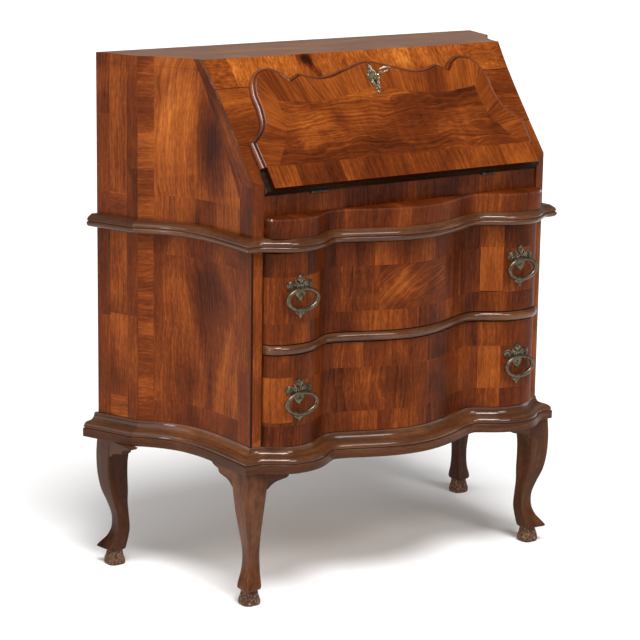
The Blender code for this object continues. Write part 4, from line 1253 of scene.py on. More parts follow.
        def behind(along: float) -> Vector:
            """Plan point behind the face, in front of the back's plane."""
            spot = run.at(along) + inward
            return Vector((spot.x, max(spot.y, 0.0)))

        blank = Blank((0.0, low), (run.length - plan.gap, high), self.cell)
        seed = 31 if hand is Hand.LEFT else 43
        blank.lay(self.stile_sheets(), seed)
        return blank.bend(lambda along, z: plan.on_hand(hand, run.at(along), z),
                          lambda along, z: plan.on_hand(hand, behind(along), z))

    def build(self) -> None:
        """Builds the sides, the stiles and the top."""
        plan = self.plan
        normal = plan.slope_axis(2)
        for hand in Hand:
            side = self.side_blank(hand, plan.base_top + plan.gap, plan.under_top, plan.side_thick, True)
            side.trim(plan.on_slope(0, 0, -self.lip), normal)
            whole = gather([side.mesh, self.cheek(hand, normal)])
            set_piece(f"side_veneer_{hand.label}", whole, [SIDE_VENEER], "case", Slot.FIGURED,
                      [f"side_panel_{hand.label}"])
            stile = self.stile_blank(hand, plan.base_top + plan.gap, plan.under_top, plan.side_thick)
            set_piece(f"stile_veneer_{hand.label}", stile.mesh, [SIDE_VENEER], "case", Slot.WALNUT,
                      [f"rear_stile_{hand.label}"])
        self.build_top(normal)

    def cheek(self, hand: Hand, normal: Vector) -> Mesh:
        """Edge of a side below the fall's lip, which comes up flush with the slope.

        Args:
            hand: Side of the cabinet.
            normal: Outward normal of the slope.

        Returns:
            Its mesh.
        """
        plan = self.plan
        block = self.side_blank(hand, plan.waist_top, plan.under_top, plan.side_thick, True)
        block.trim(plan.on_slope(0, 0, -plan.gap), normal)
        block.trim(plan.on_slope(0, 0, -self.lip - self.edge_step), -normal)
        block.trim(plan.on_slope(0, self.cheek_top, 0), plan.slope_axis(1))
        block.mesh.normal_update()
        uv, tone, _ = veneer_layers(block.mesh)
        for face in block.mesh.faces:
            if face.normal.dot(normal) > FACING:
                for loop in face.loops:
                    loop[uv].uv = (loop.vert.co.z, loop.vert.co.x)
                    loop[tone] = self.cheek_tone
        return block.mesh

    def build_top(self, normal: Vector) -> None:
        """Builds the top, whose edges carry on the veneers of the sides.

        Args:
            normal: Outward normal of the slope.
        """
        plan = self.plan
        low, high = plan.under_top + plan.gap, plan.height + self.top_lift
        blank = Blank((-plan.rear_half, 0.0), (plan.rear_half, plan.corner_depth), self.top_cell)
        cut(blank.mesh, parts_of(blank.mesh), Vector((0, plan.stile_depth, 0)), Vector((0, 1, 0)))
        sheets = [
            Sheet.block(-460, 460, -5, 380, 0.0, 0.5, 0),
            Sheet.block(-460, 460, -5, 38, -0.08, 0.2, 90),
            Sheet.block(-20, 460, 38, 172, 0.04, 0.6, 0),
            Sheet.block(-460, 460, 172, 380, -0.03, 0.2, 90),
        ]
        blank.lay(sheets, 57)

        def narrowed(x: float, depth: float) -> Vector:
            """Plan point inside the edging."""
            return Vector((x * (plan.half_at(depth) - self.edge_thick) / plan.rear_half, depth))

        top = blank.bend(lambda x, depth: plan.place(narrowed(x, depth), high),
                         lambda x, depth: plan.place(narrowed(x, depth), low))
        top.trim(plan.on_slope(0, 0, -plan.gap), normal)
        thick, step = self.edge_thick * self.edge_lap, self.edge_step
        edges = []
        for hand in Hand:
            edge = self.side_blank(hand, low, high - step, thick, False)
            edges.append(edge.trim(plan.on_slope(0, 0, -plan.gap - step), normal).mesh)
            edges.append(self.stile_blank(hand, low, high - 2 * step, thick).mesh)
        for edge in edges:
            for face in edge.faces:
                face.material_index = 1
        whole = gather([top.mesh, *edges])
        set_piece("top_veneer", whole, [TOP, SIDE_VENEER], "case", Slot.WALNUT, ["top_board"])


@dataclass
class PostStrips:
    """Rounded strips on the corner posts beside the drawers, with stopped ends."""

    plan: CasePlan = PLAN
    near: float = 0.0035
    far: float = 0.0205
    crown: float = 0.0034
    low: float = 0.3085
    high: float = 0.6635
    stop: float = 0.014
    slant: float = 0.011
    flat: float = 0.35
    fullness: float = 0.7
    sink: float = 0.001
    steps: int = 9

    def section(self, hand: Hand, z: float, share: float, slant: float) -> list[Vector]:
        """One cross-section of a strip.

        Args:
            hand: Side of the cabinet.
            z: Height of its outer edge.
            share: Share of the full crown.
            slant: Rise of its inner edge over its outer one.

        Returns:
            The section's points.
        """
        plan = self.plan
        corner = Vector((plan.front_half, plan.corner_depth))
        inner = Vector((plan.opening_half, plan.opening_depth))
        along = (inner - corner).normalized()
        out = Vector((-along.y, along.x)) if along.x > 0 else Vector((along.y, -along.x))
        points = []
        for step in range(self.steps + 1):
            part = step / self.steps
            spot = corner + along * (self.near + (self.far - self.near) * part)
            swell = math.sin(math.pi * part) ** self.fullness
            spot += out * self.crown * share * (self.flat + (1 - self.flat) * swell)
            points.append(plan.on_hand(hand, spot, z + slant * part))
        for part in (1.0, 0.0):
            spot = corner + along * (self.near + (self.far - self.near) * part) - out * self.sink
            points.append(plan.on_hand(hand, spot, z + slant * part))
        return points

    def build(self) -> None:
        """Builds both strips."""
        for hand in Hand:
            rows = ((self.low, 0.1, self.slant), (self.low + self.stop, 1.0, self.slant * 0.4),
                    (self.low + self.stop * 2, 1.0, 0.0), (self.high - self.stop * 2, 1.0, 0.0),
                    (self.high - self.stop * 0.6, 0.75, 0.0), (self.high, 0.1, 0.0))
            sections = [self.section(hand, *row) for row in rows]
            sweep = Sweep(sections, lambda along: (0.13, 0.15), 61 + hand.value)
            set_piece(f"post_strip_{hand.label}", sweep.mesh, [VENEER], "case", Slot.WALNUT, crease=50.0)


@dataclass
class Mouldings:
    """Base and waist mouldings, each in three lengths that are mitred at the front corners."""

    plan: CasePlan = PLAN
    base_overhang: float = 0.026
    base_inboard: float = 0.024
    base_face: float = 0.017
    rear_flare: float = 0.0075
    ovolo: float = 0.011
    fillet: float = 0.0015
    arris: float = 0.001
    waist_overhang: float = 0.022
    waist_inboard: float = 0.0215
    # Painted shade on the lengths on the rear stiles, which face back and catch no highlight.
    rear_painted_shade: float = -0.2
    round_steps: int = 10

    def base_profile(self) -> list[Point]:
        """Plinth face, ovolo and hollow, from the bottom up.

        Returns:
            Offsets and heights.
        """
        low, top = self.plan.leg_height, self.plan.base_top
        reach, face = self.base_overhang, low + self.base_face
        centre, spring = reach - self.fillet - self.ovolo, face + self.fillet
        points = [(reach - self.arris, low), (reach, low + self.arris), (reach, face - self.arris),
                  (reach - self.arris, face), (centre + self.ovolo * 0.72, face + self.fillet * 0.2),
                  (centre + self.ovolo * 0.74, spring - self.fillet * 0.4)]
        for step in range(self.round_steps + 1):
            angle = math.pi / 2 * step / self.round_steps
            points.append((centre + self.ovolo * math.cos(angle), spring + self.ovolo * math.sin(angle)))
        crown = spring + self.ovolo
        points.append((centre - self.fillet, crown + self.fillet * 0.4))
        for step in range(1, self.round_steps + 1):
            angle = math.pi / 2 * step / self.round_steps
            points.append((self.fillet + (centre - 2 * self.fillet) * (1 - math.sin(angle)),
                           top - (top - crown - self.fillet * 0.4) * math.cos(angle)))
        return points

    def waist_profile(self) -> list[Point]:
        """Bead, quirk and roll, from the underside up.

        Returns:
            Offsets and heights.
        """
        quirk = 0.86
        shares = ((0.05, 0.0), (0.5, 0.08), (0.85, 0.16), (0.97, 0.27), (1.0, 0.37), (0.96, 0.46),
                  (quirk, 0.515), (0.94, 0.57), (0.92, 0.7), (0.81, 0.82), (0.64, 0.92), (0.5, 1.0))
        tall = self.plan.waist_top - self.plan.waist_bottom
        knots = [Vector((self.waist_overhang * out, self.plan.waist_bottom + tall * rise))
                 for out, rise in shares]
        corners = [out == quirk for out, _ in shares]
        return [(point.x, point.y) for point in rounded(knots, corners, 4)]

    def lengths(self, name: str, profile: Sequence[Point], inboard: Point, flare: float) -> None:
        """Builds the right, front and left lengths of a moulding.

        Args:
            name: Name of the moulding.
            profile: Offsets and heights from the bottom up.
            inboard: Widths inside the case line, of the front and of the sides.
            flare: Extra width at the rear ends.
        """
        plan, line = self.plan, self.plan.case_line()
        steps, corner = outward(line), len(plan.side_line())
        last = len(line) - 1
        spans = {"right": (0, corner), "front": (corner, last - corner), "left": (last - corner, last)}
        for seed, (side, (first, end)) in enumerate(spans.items()):
            sections = []
            for index in range(first, end + 1):
                point = line[index].copy()
                if side != "front" and index in (corner, last - corner):
                    point.y -= plan.gap
                spread = Vector((math.copysign(flare, point.x), 0)) if index in (0, last) else Vector((0, 0))
                section = [plan.place(point + steps[index] * offset + spread, z) for offset, z in profile]
                inner = point - steps[index] * inboard[side != "front"]
                if side == "front" and first < index < end:
                    inner = Vector((point.x * (1 - inboard[0] / plan.front_half), point.y - inboard[0]))
                if side == "front" and name == "waist_moulding":
                    inner.y = min(inner.y, plan.bead_back)
                section += [plan.place(inner, profile[-1][1]), plan.place(inner, profile[0][1])]
                sections.append(section)
            sweep = Sweep(sections, lambda along: (0.04, 0.35), seed * 7 + len(name))
            # The lengths on the rear stiles get painted shade.
            if side != "front":
                self.paint_rear_shade(sweep.mesh)
            for face in sweep.mesh.faces:
                if face.calc_center_median().z < plan.leg_height + self.base_face:
                    face.material_index = 1
            set_piece(f"{name}_wood_{side}", sweep.mesh, [SOLID, LEG_WOOD], "case", Slot.DARK,
                      [f"{name}_{side}"], crease=15.0)

    def paint_rear_shade(self, mesh: Mesh) -> None:
        """Paints shade on the length on the rear stile, up to its mitre, for the highlight that it misses
        where it faces back.

        Args:
            mesh: Moulding of one side.
        """
        tone = veneer_layers(mesh)[1]
        for face in mesh.faces:
            if self.plan.rear_y - face.calc_center_median().y < self.plan.stile_depth:
                for loop in face.loops:
                    loop[tone] = self.rear_painted_shade

    def build(self) -> None:
        """Builds both mouldings."""
        base, waist = (self.base_inboard, self.base_inboard), (self.waist_inboard, -self.plan.gap / 2)
        self.lengths("base_moulding", self.base_profile(), base, self.rear_flare)
        self.lengths("waist_moulding", self.waist_profile(), waist, 0.0)


@dataclass
class Rails:
    """Bead between the drawers, serpentine frieze and flat fascia under the fall."""

    plan: CasePlan = PLAN
    bead_proud: float = 0.008
    frieze_proud: float = 0.01
    frieze_round: float = 0.003
    fascia_depth: float = 0.3685
    fascia_thick: float = 0.018
    flat_share: float = 0.03
    nose_steps: int = 14

    def build(self) -> None:
        """Builds the three rails."""
        plan = self.plan
        share = (plan.opening_half - plan.gap) / plan.opening_half
        self.build_bead(share)
        self.build_frieze(share)
        self.build_fascia()

    def build_bead(self, share: float) -> None:
        """Builds the half-round bead.

        Args:
            share: Share of the drawer line's width.
        """
        plan = self.plan
        middle, radius = (plan.bead_top + plan.bead_bottom) / 2, (plan.bead_top - plan.bead_bottom) / 2
        tall = radius - plan.drawer_gap
        sections = []
        for point in plan.drawer_line():
            profile = [(plan.bead_back, middle + tall), (plan.bead_back, middle - tall)]
            for step in range(self.nose_steps + 1):
                angle = math.pi * (step / self.nose_steps - 0.5)
                profile.append((point.y + self.bead_proud * math.cos(angle), middle + tall * math.sin(angle)))
            sections.append([plan.place(Vector((point.x * share, depth)), z) for depth, z in profile])
        sweep = Sweep(sections, lambda along: (0.08, 0.3), 5)
        set_piece("divider_bead_wood", sweep.mesh, [SOLID], "case", Slot.DARK, ["divider_bead"], crease=50.0)

    def build_frieze(self, share: float) -> None:
        """Builds the frieze, whose veneer turns over a rounded edge onto its top.

        Args:
            share: Share of the drawer line's width.
        """
        plan, run = self.plan, Run(self.plan.drawer_line())
        low, top, soft = plan.waist_top + plan.gap, plan.frieze_top, self.frieze_round
        face, turn = top - soft - low, soft * math.pi / 2
        rear = self.fascia_depth + plan.gap

        def place(along: float, rise: float) -> Vector:
            """World place of a point of the blank."""
            point = run.at(along)
            depth, x = point.y + self.frieze_proud, point.x * share
            if rise <= face:
                return plan.place(Vector((x, depth)), low + rise)
            angle = min((rise - face) / soft, math.pi / 2)
            depth -= soft * (1 - math.cos(angle))
            flat = max(0.0, (rise - face - turn) / self.flat_share)
            return plan.place(Vector((x, depth + (rear - depth) * flat)), top - soft * (1 - math.sin(angle)))

        def back(along: float, rise: float) -> Vector:
            """World place behind it."""
            return plan.place(Vector((run.at(along).x * share, rear)), min(low + rise, top))

        # The lighter sheet from 530 to 585 mm is a painted highlight on the right lobe.
        tones = ((-5, 60, -0.3), (60, 200, -0.32), (200, 330, -0.16), (330, 470, -0.14), (470, 530, -0.26),
                 (530, 585, 0.14), (585, 730, -0.1))
        sheets = [Sheet.block(near, far, -5, 90, tone, 0.25, 84) for near, far, tone in tones]
        blank = Blank((0.0, 0.0), (run.length, face + turn + self.flat_share), (0.005, 0.004))
        blank.lay(sheets, 71)
        for edge in blank.mesh.faces:
            if face - soft / 2 < edge.calc_center_median().y < face + turn:
                edge.material_index = 1
        blank.bend(place, back)
        set_piece("frieze_veneer", blank.mesh, [VENEER, ARRIS], "case", Slot.FIGURED, ["frieze_rail"])

    def build_fascia(self) -> None:
        """Builds the flat fascia."""
        plan = self.plan
        half = plan.opening_half - plan.gap
        tones = ((-330, -160, -0.06), (-160, -80, -0.22), (-80, 10, -0.1), (10, 35, 0.06), (35, 130, -0.22),
                 (130, 250, -0.05), (250, 330, -0.12))
        sheets = [Sheet.block(near, far, 690, 775, tone, 0.3) for near, far, tone in tones]
        blank = Blank((-half, plan.waist_top + plan.gap), (half, plan.hinge_z), (0.02, 0.02))
        blank.lay(sheets, 83)
        blank.bend(lambda x, z: plan.place(Vector((x, self.fascia_depth)), z),
                   lambda x, z: plan.place(Vector((x, self.fascia_depth - self.fascia_thick)), z))
        set_piece("fascia_veneer", blank.mesh, [VENEER], "case", Slot.FIGURED, ["fascia_rail"])


@dataclass
class Slope:
    """Veneers of the slope's fixed rail and of the fall, with the raised panel on the fall."""

    plan: CasePlan = PLAN
    rail_length: float = 0.0617
    fall_top: float = 0.0633
    lip_bottom: float = 0.1808
    skin: float = 0.00026
    panel_back: float = 0.0003
    panel_face: float = 0.0123
    foot_drop: float = 0.27879
    band_drop: float = 0.235
    bead_width: float = 0.0096
    hair: float = 0.00002
    matte: float = 0.12
    line_steps: int = 8
    stains: tuple[Stain, ...] = (
        Stain(-128, -10, 12, 12, -1.2), Stain(-116, -34, 5, 26, -1.0, 14), Stain(-40, -20, 4, 30, -0.2, 16),
        Stain(60, -30, 40, 24, 0.12), Stain(-200, -30, 50, 22, 0.1))
    field_stains: tuple[Stain, ...] = (
        Stain(-163, -113, 45, 16, -0.24), Stain(-117, -150, 14, 18, -0.3), Stain(200, -106, 40, 17, -0.28),
        Stain(185, -205, 60, 22, 0.16), Stain(-200, -190, 40, 20, 0.14), Stain(30, -102, 60, 12, 0.12),
        Stain(70, -160, 70, 14, -0.12), Stain(-40, -200, 60, 12, -0.1))
    field_tone: float = -0.05
    foot_painted_shade: float = -1.1
    field_cell: float = 0.012
    field_squeeze: float = 0.8
    field_shift: float = 3.0
    band_cell: Point = (0.02, 0.02)
    mitre_limit: float = 0.55
    board_half: float = 0.3213
    foot_depth: float = 0.0128

    def skin_piece(self, name: str, top: float, bottom: float, sheets: Sequence[Sheet], seed: int,
                   body: str, finish: VeneerFinish) -> None:
        """A thin veneer on one board of the slope.

        Args:
            name: Name of the piece.
            top: Drop of its upper edge.
            bottom: Drop of its lower edge.
            sheets: Sheets by the distance from the centre and the height up the slope.
            seed: Seed of the places in the timber.
            body: Body that it moves with.
            finish: Its finish.
        """
        plan = self.plan
        widest = plan.half_at_drop(top)

        def place(x: float, rise: float, out: float) -> Vector:
            """World place of a point of the blank."""
            half = plan.half_at_drop(-rise)
            return plan.on_slope(x * half / widest, -rise, out)

        blank = Blank((-widest, -bottom), (widest, -top), (0.01, 0.008)).lay(sheets, seed, self.stains)
        blank.bend(lambda x, rise: place(x, rise, self.skin), lambda x, rise: place(x, rise, self.skin / 10))
        set_piece(name, blank.mesh, [finish], body, Slot.FIGURED)

    def rail_sheets(self) -> list[Sheet]:
        """Veneers of the fixed rail, in millimetres."""
        return [
            Sheet.block(-460, 460, -70, 5, 0.34, 0.6),
            Sheet.block(-460, -300, -70, 5, 0.18, 0.3, 0),
            Sheet.block(-300, -140, -70, 5, 0.38, 0.7, 80),
            Sheet.block(-140, -30, -70, 5, 0.34, 0.7, 95),
            Sheet.block(-30, 120, -70, 5, 0.4, 0.6, 88),
            Sheet.block(120, 250, -70, 5, 0.32, 0.5),
            Sheet.block(250, 460, -70, 5, 0.2, 0.3, 0),
        ]

    def spandrel_sheets(self) -> list[Sheet]:
        """Veneers of the fall beside the raised panel, in millimetres."""
        return [
            Sheet.block(-460, 460, -185, -60, 0.2, 0.5),
            Sheet.block(-460, -278, -185, -60, 0.14, 0.25, 4),
            Sheet.block(278, 460, -185, -60, 0.12, 0.25, -4),
        ]

    def outlines(self) -> tuple[list[Vector], list[Vector]]:
        """Outline of the raised panel and of the burr field in it, from the right band to the left one.

        Returns:
            The two lines, with matching points.
        """
        pairs = (
            ((0.3205, 0.235), (0.285, 0.235), True, True), ((0.323, 0.182), (0.257, 0.197), True, False),
            ((0.289, 0.15), (0.241, 0.172), False, False),
            ((0.281, 0.12), (0.235, 0.147), False, False), ((0.279, 0.077), (0.233, 0.122), False, False),
            ((0.26, 0.04), (0.234, 0.1), False, True), ((0.23, 0.0288), (0.218, 0.104), False, False),
            ((0.2035, 0.0371), (0.19, 0.107), False, False), ((0.1858, 0.0545), (0.172, 0.109), True, False),
            ((0.1634, 0.044), (0.15, 0.11), True, False), ((0.115, 0.0545), (0.105, 0.107), False, False),
            ((0.05, 0.0385), (0.045, 0.096), False, False), ((0.0, 0.0265), (0.0, 0.088), False, False),
        )
        mirror = [((-o[0], o[1]), (-i[0], i[1]), a, b) for o, i, a, b in pairs[-2::-1]]
        whole = [*pairs, *mirror]
        outer = rounded([Vector(pair[0]) for pair in whole], [pair[2] for pair in whole], self.line_steps)
        inner = rounded([Vector(pair[1]) for pair in whole], [pair[3] for pair in whole], self.line_steps)
        return outer, inner

    def inward(self, line: Sequence[Vector]) -> list[Vector]:
        """Mitred unit steps into the panel.

        Args:
            line: Outline from right to left.

        Returns:
            A step for each point.
        """
        normals = []
        for near, far in zip(line, line[1:]):
            way = (far - near).normalized()
            normals.append(Vector((way.y, -way.x)))
        steps = [Vector((-1, 0))]
        for before, after in zip(normals, normals[1:]):
            steps.append((before + after) / max(1 + before.dot(after), self.mitre_limit))
        return [*steps, Vector((1, 0))]

    def build(self) -> None:
        """Builds the veneers and the raised panel."""
        self.skin_piece("slope_rail_veneer", 0.0, self.rail_length, self.rail_sheets(), 91, "case", BURR)
        self.skin_piece("fall_veneer", self.fall_top, self.lip_bottom, self.spandrel_sheets(), 97, "fall",
                        VENEER)
        outer, inner = self.outlines()
        steps = self.inward(outer)
        rim = [point + step * (self.bead_width + self.hair) for point, step in zip(outer, steps)]
        meshes = [self.bead_sweep(outer, steps), self.border(rim, inner), self.field(inner),
                  self.band(rim[0].x)]
        set_piece("raised_panel", gather(meshes), [VENEER, POLISHED], "fall", Slot.FIGURED, ["fall_panel"],
                  crease=28.0)
        self.build_painted_foot_shadow(rim[0].x)

    def build_painted_foot_shadow(self, half: float) -> None:
        """Thin near-black skins on the board's foot, in front of the hinges, and beside the band, painted as
        the shadow under the fall.

        Args:
            half: Half length of the band.
        """
        foot, skin, deep = self.foot_drop, self.skin, self.foot_depth
        side = self.board_half - half
        away, drop = half + side / 2, (self.band_drop + foot) / 2
        blocks = [((self.board_half * 2, skin, deep), (0.0, -foot - skin, -deep / 2 - self.plan.gap))]
        for hand in Hand:
            blocks.append(((side - self.plan.gap, foot - self.band_drop, skin),
                           (away * hand.value, -drop, skin / 2)))
        mesh = gather([box(*block) for block in blocks])
        bmesh.ops.transform(mesh, matrix=self.plan.slope_frame(), verts=mesh.verts)
        set_piece("fall_foot_stain", mesh, [PAINTED_SHADOW], "fall", Slot.FIGURED)

    def bead_sweep(self, line: Sequence[Vector], steps: Sequence[Vector]) -> Mesh:
        """Moulded edge of the panel.

        Args:
            line: Outline of the panel.
            steps: Mitred steps into it.

        Returns:
            The edge's mesh.
        """
        profile = ((0.0, self.panel_back), (0.0, 0.005), (0.0003, 0.0066), (0.0013, 0.0084), (0.0028, 0.0095),
                   (0.0045, 0.0098), (0.006, 0.0091), (0.0069, 0.0079), (0.0072, 0.0073), (0.0078, 0.0073),
                   (0.008, 0.0076), (0.0081, 0.0112), (0.0086, 0.012), (self.bead_width, self.panel_face),
                   (self.bead_width, self.panel_back))
        sections = []
        for point, step in zip(line, steps):
            spots = [(point + step * inset, out) for inset, out in profile]
            sections.append([self.plan.on_slope(spot.x, spot.y, out) for spot, out in spots])
        sweep = Sweep(sections, lambda along: (-0.06, 0.3), 101)
        sweep.mesh.normal_update()
        sideways = self.plan.slope_axis(0)
        for face in sweep.mesh.faces:
            middle = face.calc_center_median().x
            face.material_index = 0 if face.normal.dot(sideways) * middle < -self.matte * abs(middle) else 1
        return sweep.mesh

    def border(self, rim: Sequence[Vector], inner: Sequence[Vector]) -> Mesh:
        """Cross-banded border between the moulded edge and the field.

        Args:
            rim: Inner line of the moulded edge.
            inner: Outline of the field.

        Returns:
            The border's mesh.
        """
        sections = []
        for near, far in zip(rim, inner):
            spots = ((near, self.panel_back), (near, self.panel_face), (far, self.panel_face),
                     (far, self.panel_back))
            sections.append([self.plan.on_slope(spot.x, spot.y, out) for spot, out in spots])
        cuts = ((0.1, 0.1), (0.2, 0.06), (0.3, 0.12), (0.37, 0.06), (0.45, 0.14), (0.52, 0.04), (0.6, 0.14),
                (0.68, 0.12), (0.76, 0.0), (0.82, 0.12), (0.9, 0.06), (9.0, 0.02))
        sweep = Sweep(sections, lambda along: (next(tone for end, tone in cuts if along < end), 0.35), 103)
        uv = sweep.mesh.loops.layers.uv[GRAIN]
        for face in sweep.mesh.faces:
            for loop in face.loops:
                loop[uv].uv = loop[uv].uv.yx
        return sweep.mesh

    def field(self, inner: Sequence[Vector]) -> Mesh:
        """Burr field of the panel.

        Args:
            inner: Its outline from right to left, open along the band.

        Returns:
            The field's mesh.
        """
        mesh = bmesh.new()
        uv, tone, figure = veneer_layers(mesh)
        middle = Vector((0, (self.band_drop + inner[len(inner) // 2].y) / 2))
        line = [point + (middle - point).normalized() * self.hair * 2 for point in inner]
        mesh.faces.new([mesh.verts.new((point.x, -point.y, self.panel_face)) for point in line])
        mesh.normal_update()
        bmesh.ops.triangulate(mesh, faces=mesh.faces)
        for axis in (0, 1):
            reach = [vert.co[axis] for vert in mesh.verts]
            for step in range(1, round((max(reach) - min(reach)) / self.field_cell)):
                place, across = Vector((0, 0, 0)), Vector((0, 0, 0))
                place[axis], across[axis] = min(reach) + step * self.field_cell, 1.0
                cut(mesh, parts_of(mesh), place, across)
        for face in mesh.faces:
            face[figure] = 1.0
            for loop in face.loops:
                loop[uv].uv = Vector((loop.vert.co.x * self.field_squeeze, loop.vert.co.y + self.field_shift))
                loop[tone] = self.field_tone + sum(tone_spot.at(loop.vert.co) for tone_spot in self.field_stains)
        extruded(mesh, mesh.faces, (0, 0, self.panel_back - self.panel_face))
        bmesh.ops.transform(mesh, matrix=self.plan.slope_frame(), verts=mesh.verts)
        return mesh

    def band(self, half: float) -> Mesh:
        """Band along the panel's foot, whose edge faces are darkened as painted shade under the fall, over
        darker end grain.

        Args:
            half: Half of its length.

        Returns:
            The band's mesh.
        """
        tones = ((-330, -250, 0.14), (-250, -150, -0.14), (-150, -55, -0.1), (-55, 40, 0.0), (40, 140, 0.06),
                 (140, 233, 0.1), (233, 330, 0.18))
        sheets = [Sheet.block(near, far, -285, -230, tone, 0.25) for near, far, tone in tones]
        blank = Blank((-half, -self.foot_drop), (half, -self.band_drop - self.hair), self.band_cell)
        blank.lay(sheets, 107)
        blank.bend(lambda x, rise: self.plan.on_slope(x, -rise, self.panel_face),
                   lambda x, rise: self.plan.on_slope(x, -rise, self.panel_back))
        blank.mesh.normal_update()
        face_out = self.plan.slope_axis(2)
        tone = blank.mesh.loops.layers.float[TONE]
        # Painted shade: the edge faces go near black for the shadow under the fall.
        for face in blank.mesh.faces:
            if abs(face.normal.dot(face_out)) < 0.5:
                for loop in face.loops:
                    loop[tone] = self.foot_painted_shade
        return blank.mesh


class Tier(Enum):
    """The two drawers."""

    UPPER = "upper"
    LOWER = "lower"


@dataclass
class Drawers:
    """Veneered serpentine fronts of the drawers."""

    plan: CasePlan = PLAN
    inside: float = 0.3425
    cell: Point = (0.005, 0.012)

    def heights(self, tier: Tier) -> Point:
        """Lower and upper edge of a drawer front.

        Args:
            tier: The drawer.

        Returns:
            The two heights.
        """
        plan, gap = self.plan, self.plan.drawer_gap
        if tier is Tier.UPPER:
            return plan.bead_top + gap, plan.waist_bottom - gap
        return plan.base_top + gap, plan.bead_bottom - gap

    @staticmethod
    def sheets(tier: Tier) -> list[Sheet]:
        """Veneers of a drawer front, by the length along its face and the height; the lighter column from 550
        to 597 mm is a painted highlight on the right lobe.

        Args:
            tier: The drawer.

        Returns:
            The sheets, in millimetres.
        """
        if tier is Tier.UPPER:
            # Painted highlight: the sheets from 550 to 597 mm, in the bands and the field, are lighter where
            # the right lobe catches the light.
            bands = {
                (622, 670): ((-5, 90, -0.04), (90, 190, -0.16), (190, 265, 0.06), (265, 400, 0.08),
                             (400, 470, -0.04), (470, 550, -0.14), (550, 597, 0.1), (597, 730, -0.12)),
                (490, 536): ((-5, 100, 0.04), (100, 190, -0.16), (190, 225, -0.06), (225, 360, 0.05),
                             (360, 470, -0.04), (470, 550, -0.02), (550, 597, 0.08), (597, 730, -0.04)),
            }
            fields = [
                Sheet.block(42, 140, 536, 622, -0.03, 0.35, 96),
                Sheet.block(140, 200, 536, 622, -0.17, 0.3),
                Sheet.block(200, 275, 536, 622, -0.1, 1.0),
                Sheet.block(275, 440, 536, 622, 0.0, 0.75, 48, 2.0),
                Sheet.block(440, 500, 536, 622, -0.06, 0.4),
                Sheet.block(500, 552, 536, 622, -0.15, 0.3),
                Sheet.block(552, 597, 538, 625, 0.2, 0.15),
                Sheet.block(597, 730, 536, 622, -0.04, 0.25),
                Sheet.block(-5, 42, 536, 622, -0.02, 0.2),
            ]
        else:
            # Painted highlight: the sheets from 550 to 597 mm, in the bands and the field, are lighter where
            # the right lobe catches the light.
            bands = {
                (428, 480): ((-5, 60, -0.1), (60, 185, -0.06), (185, 245, 0.1), (245, 335, 0.06),
                             (335, 385, 0.12), (385, 500, -0.14), (500, 550, -0.04), (550, 597, 0.08),
                             (597, 730, -0.05)),
                (300, 343): ((-5, 70, -0.14), (70, 200, -0.06), (200, 275, 0.05), (275, 318, 0.0),
                             (318, 385, 0.1), (385, 480, -0.05), (480, 550, -0.12), (550, 597, 0.18),
                             (597, 730, -0.04)),
            }
            fields = [
                Sheet.block(60, 185, 343, 428, -0.05, 0.35, 84),
                Sheet.block(185, 290, 343, 428, -0.13, 0.8),
                Sheet.block(290, 385, 343, 428, -0.1, 0.5),
                Sheet.block(385, 500, 343, 428, -0.05, 0.35),
                Sheet.block(500, 552, 343, 428, 0.05, 0.2),
                Sheet.block(552, 597, 343, 428, 0.2, 0.15),
                Sheet.block(597, 730, 343, 428, -0.04, 0.25),
                Sheet.block(-5, 60, 350, 435, 0.2, 0.15),
            ]
        sheets = []
        for (low, high), row in bands.items():
            sheets += [Sheet.block(near, far, low, high, tone - 0.09, 0.3) for near, far, tone in row]
        return sheets + fields

    @staticmethod
    def stains(tier: Tier) -> list[Stain]:
        """Soft places in the figure of a drawer front, with painted shade in the hollows and a painted
        highlight on the right lobe, in millimetres.
        """
        if tier is Tier.UPPER:
            # The long dark spots at 168 and 500 mm are painted shade in the hollows.
            return [Stain(318, 590, 34, 34, 0.28, -30), Stain(262, 552, 22, 12, 0.2),
                    Stain(395, 575, 18, 40, -0.2, -30), Stain(425, 590, 14, 36, 0.1, -30),
                    Stain(300, 548, 26, 10, -0.16), Stain(90, 600, 40, 26, 0.06),
                    Stain(168, 580, 34, 120, -0.2), Stain(500, 580, 46, 120, -0.16),
                    Stain(240, 600, 30, 24, -0.1)]
        # The long dark spots at 168 and 450 mm are painted shade in the hollows, and the light one at 580 mm
        # is a painted highlight on the right lobe.
        return [Stain(225, 400, 26, 22, 0.12), Stain(240, 365, 40, 14, 0.08), Stain(310, 392, 24, 26, -0.14),
                Stain(110, 400, 26, 40, 0.06), Stain(520, 400, 16, 40, 0.16), Stain(168, 390, 34, 120, -0.16),
                Stain(450, 385, 44, 110, -0.2), Stain(330, 372, 34, 26, -0.1), Stain(580, 372, 16, 30, 0.14)]

    def build(self) -> None:
        """Builds both fronts."""
        plan, run = self.plan, Run(self.plan.drawer_line())
        share = (plan.opening_half - plan.drawer_gap) / plan.opening_half

        def place(along: float, z: float) -> Vector:
            """World place of a point of the blank."""
            point = run.at(along)
            return plan.place(Vector((point.x * share, point.y)), z)

        def back(along: float, z: float) -> Vector:
            """World place behind it."""
            return plan.place(Vector((run.at(along).x * share, self.inside)), z)

        for seed, tier in enumerate(Tier):
            low, high = self.heights(tier)
            blank = Blank((0.0, low), (run.length, high), self.cell)
            blank.lay(self.sheets(tier), 131 + seed, self.stains(tier))

            blank.bend(place, back, 1)
            name = f"drawer_{tier.value}"
            set_piece(f"{name}_veneer", blank.mesh, [VENEER, PINE_ACROSS], name, Slot.FIGURED,
                      [f"{name}_front"])


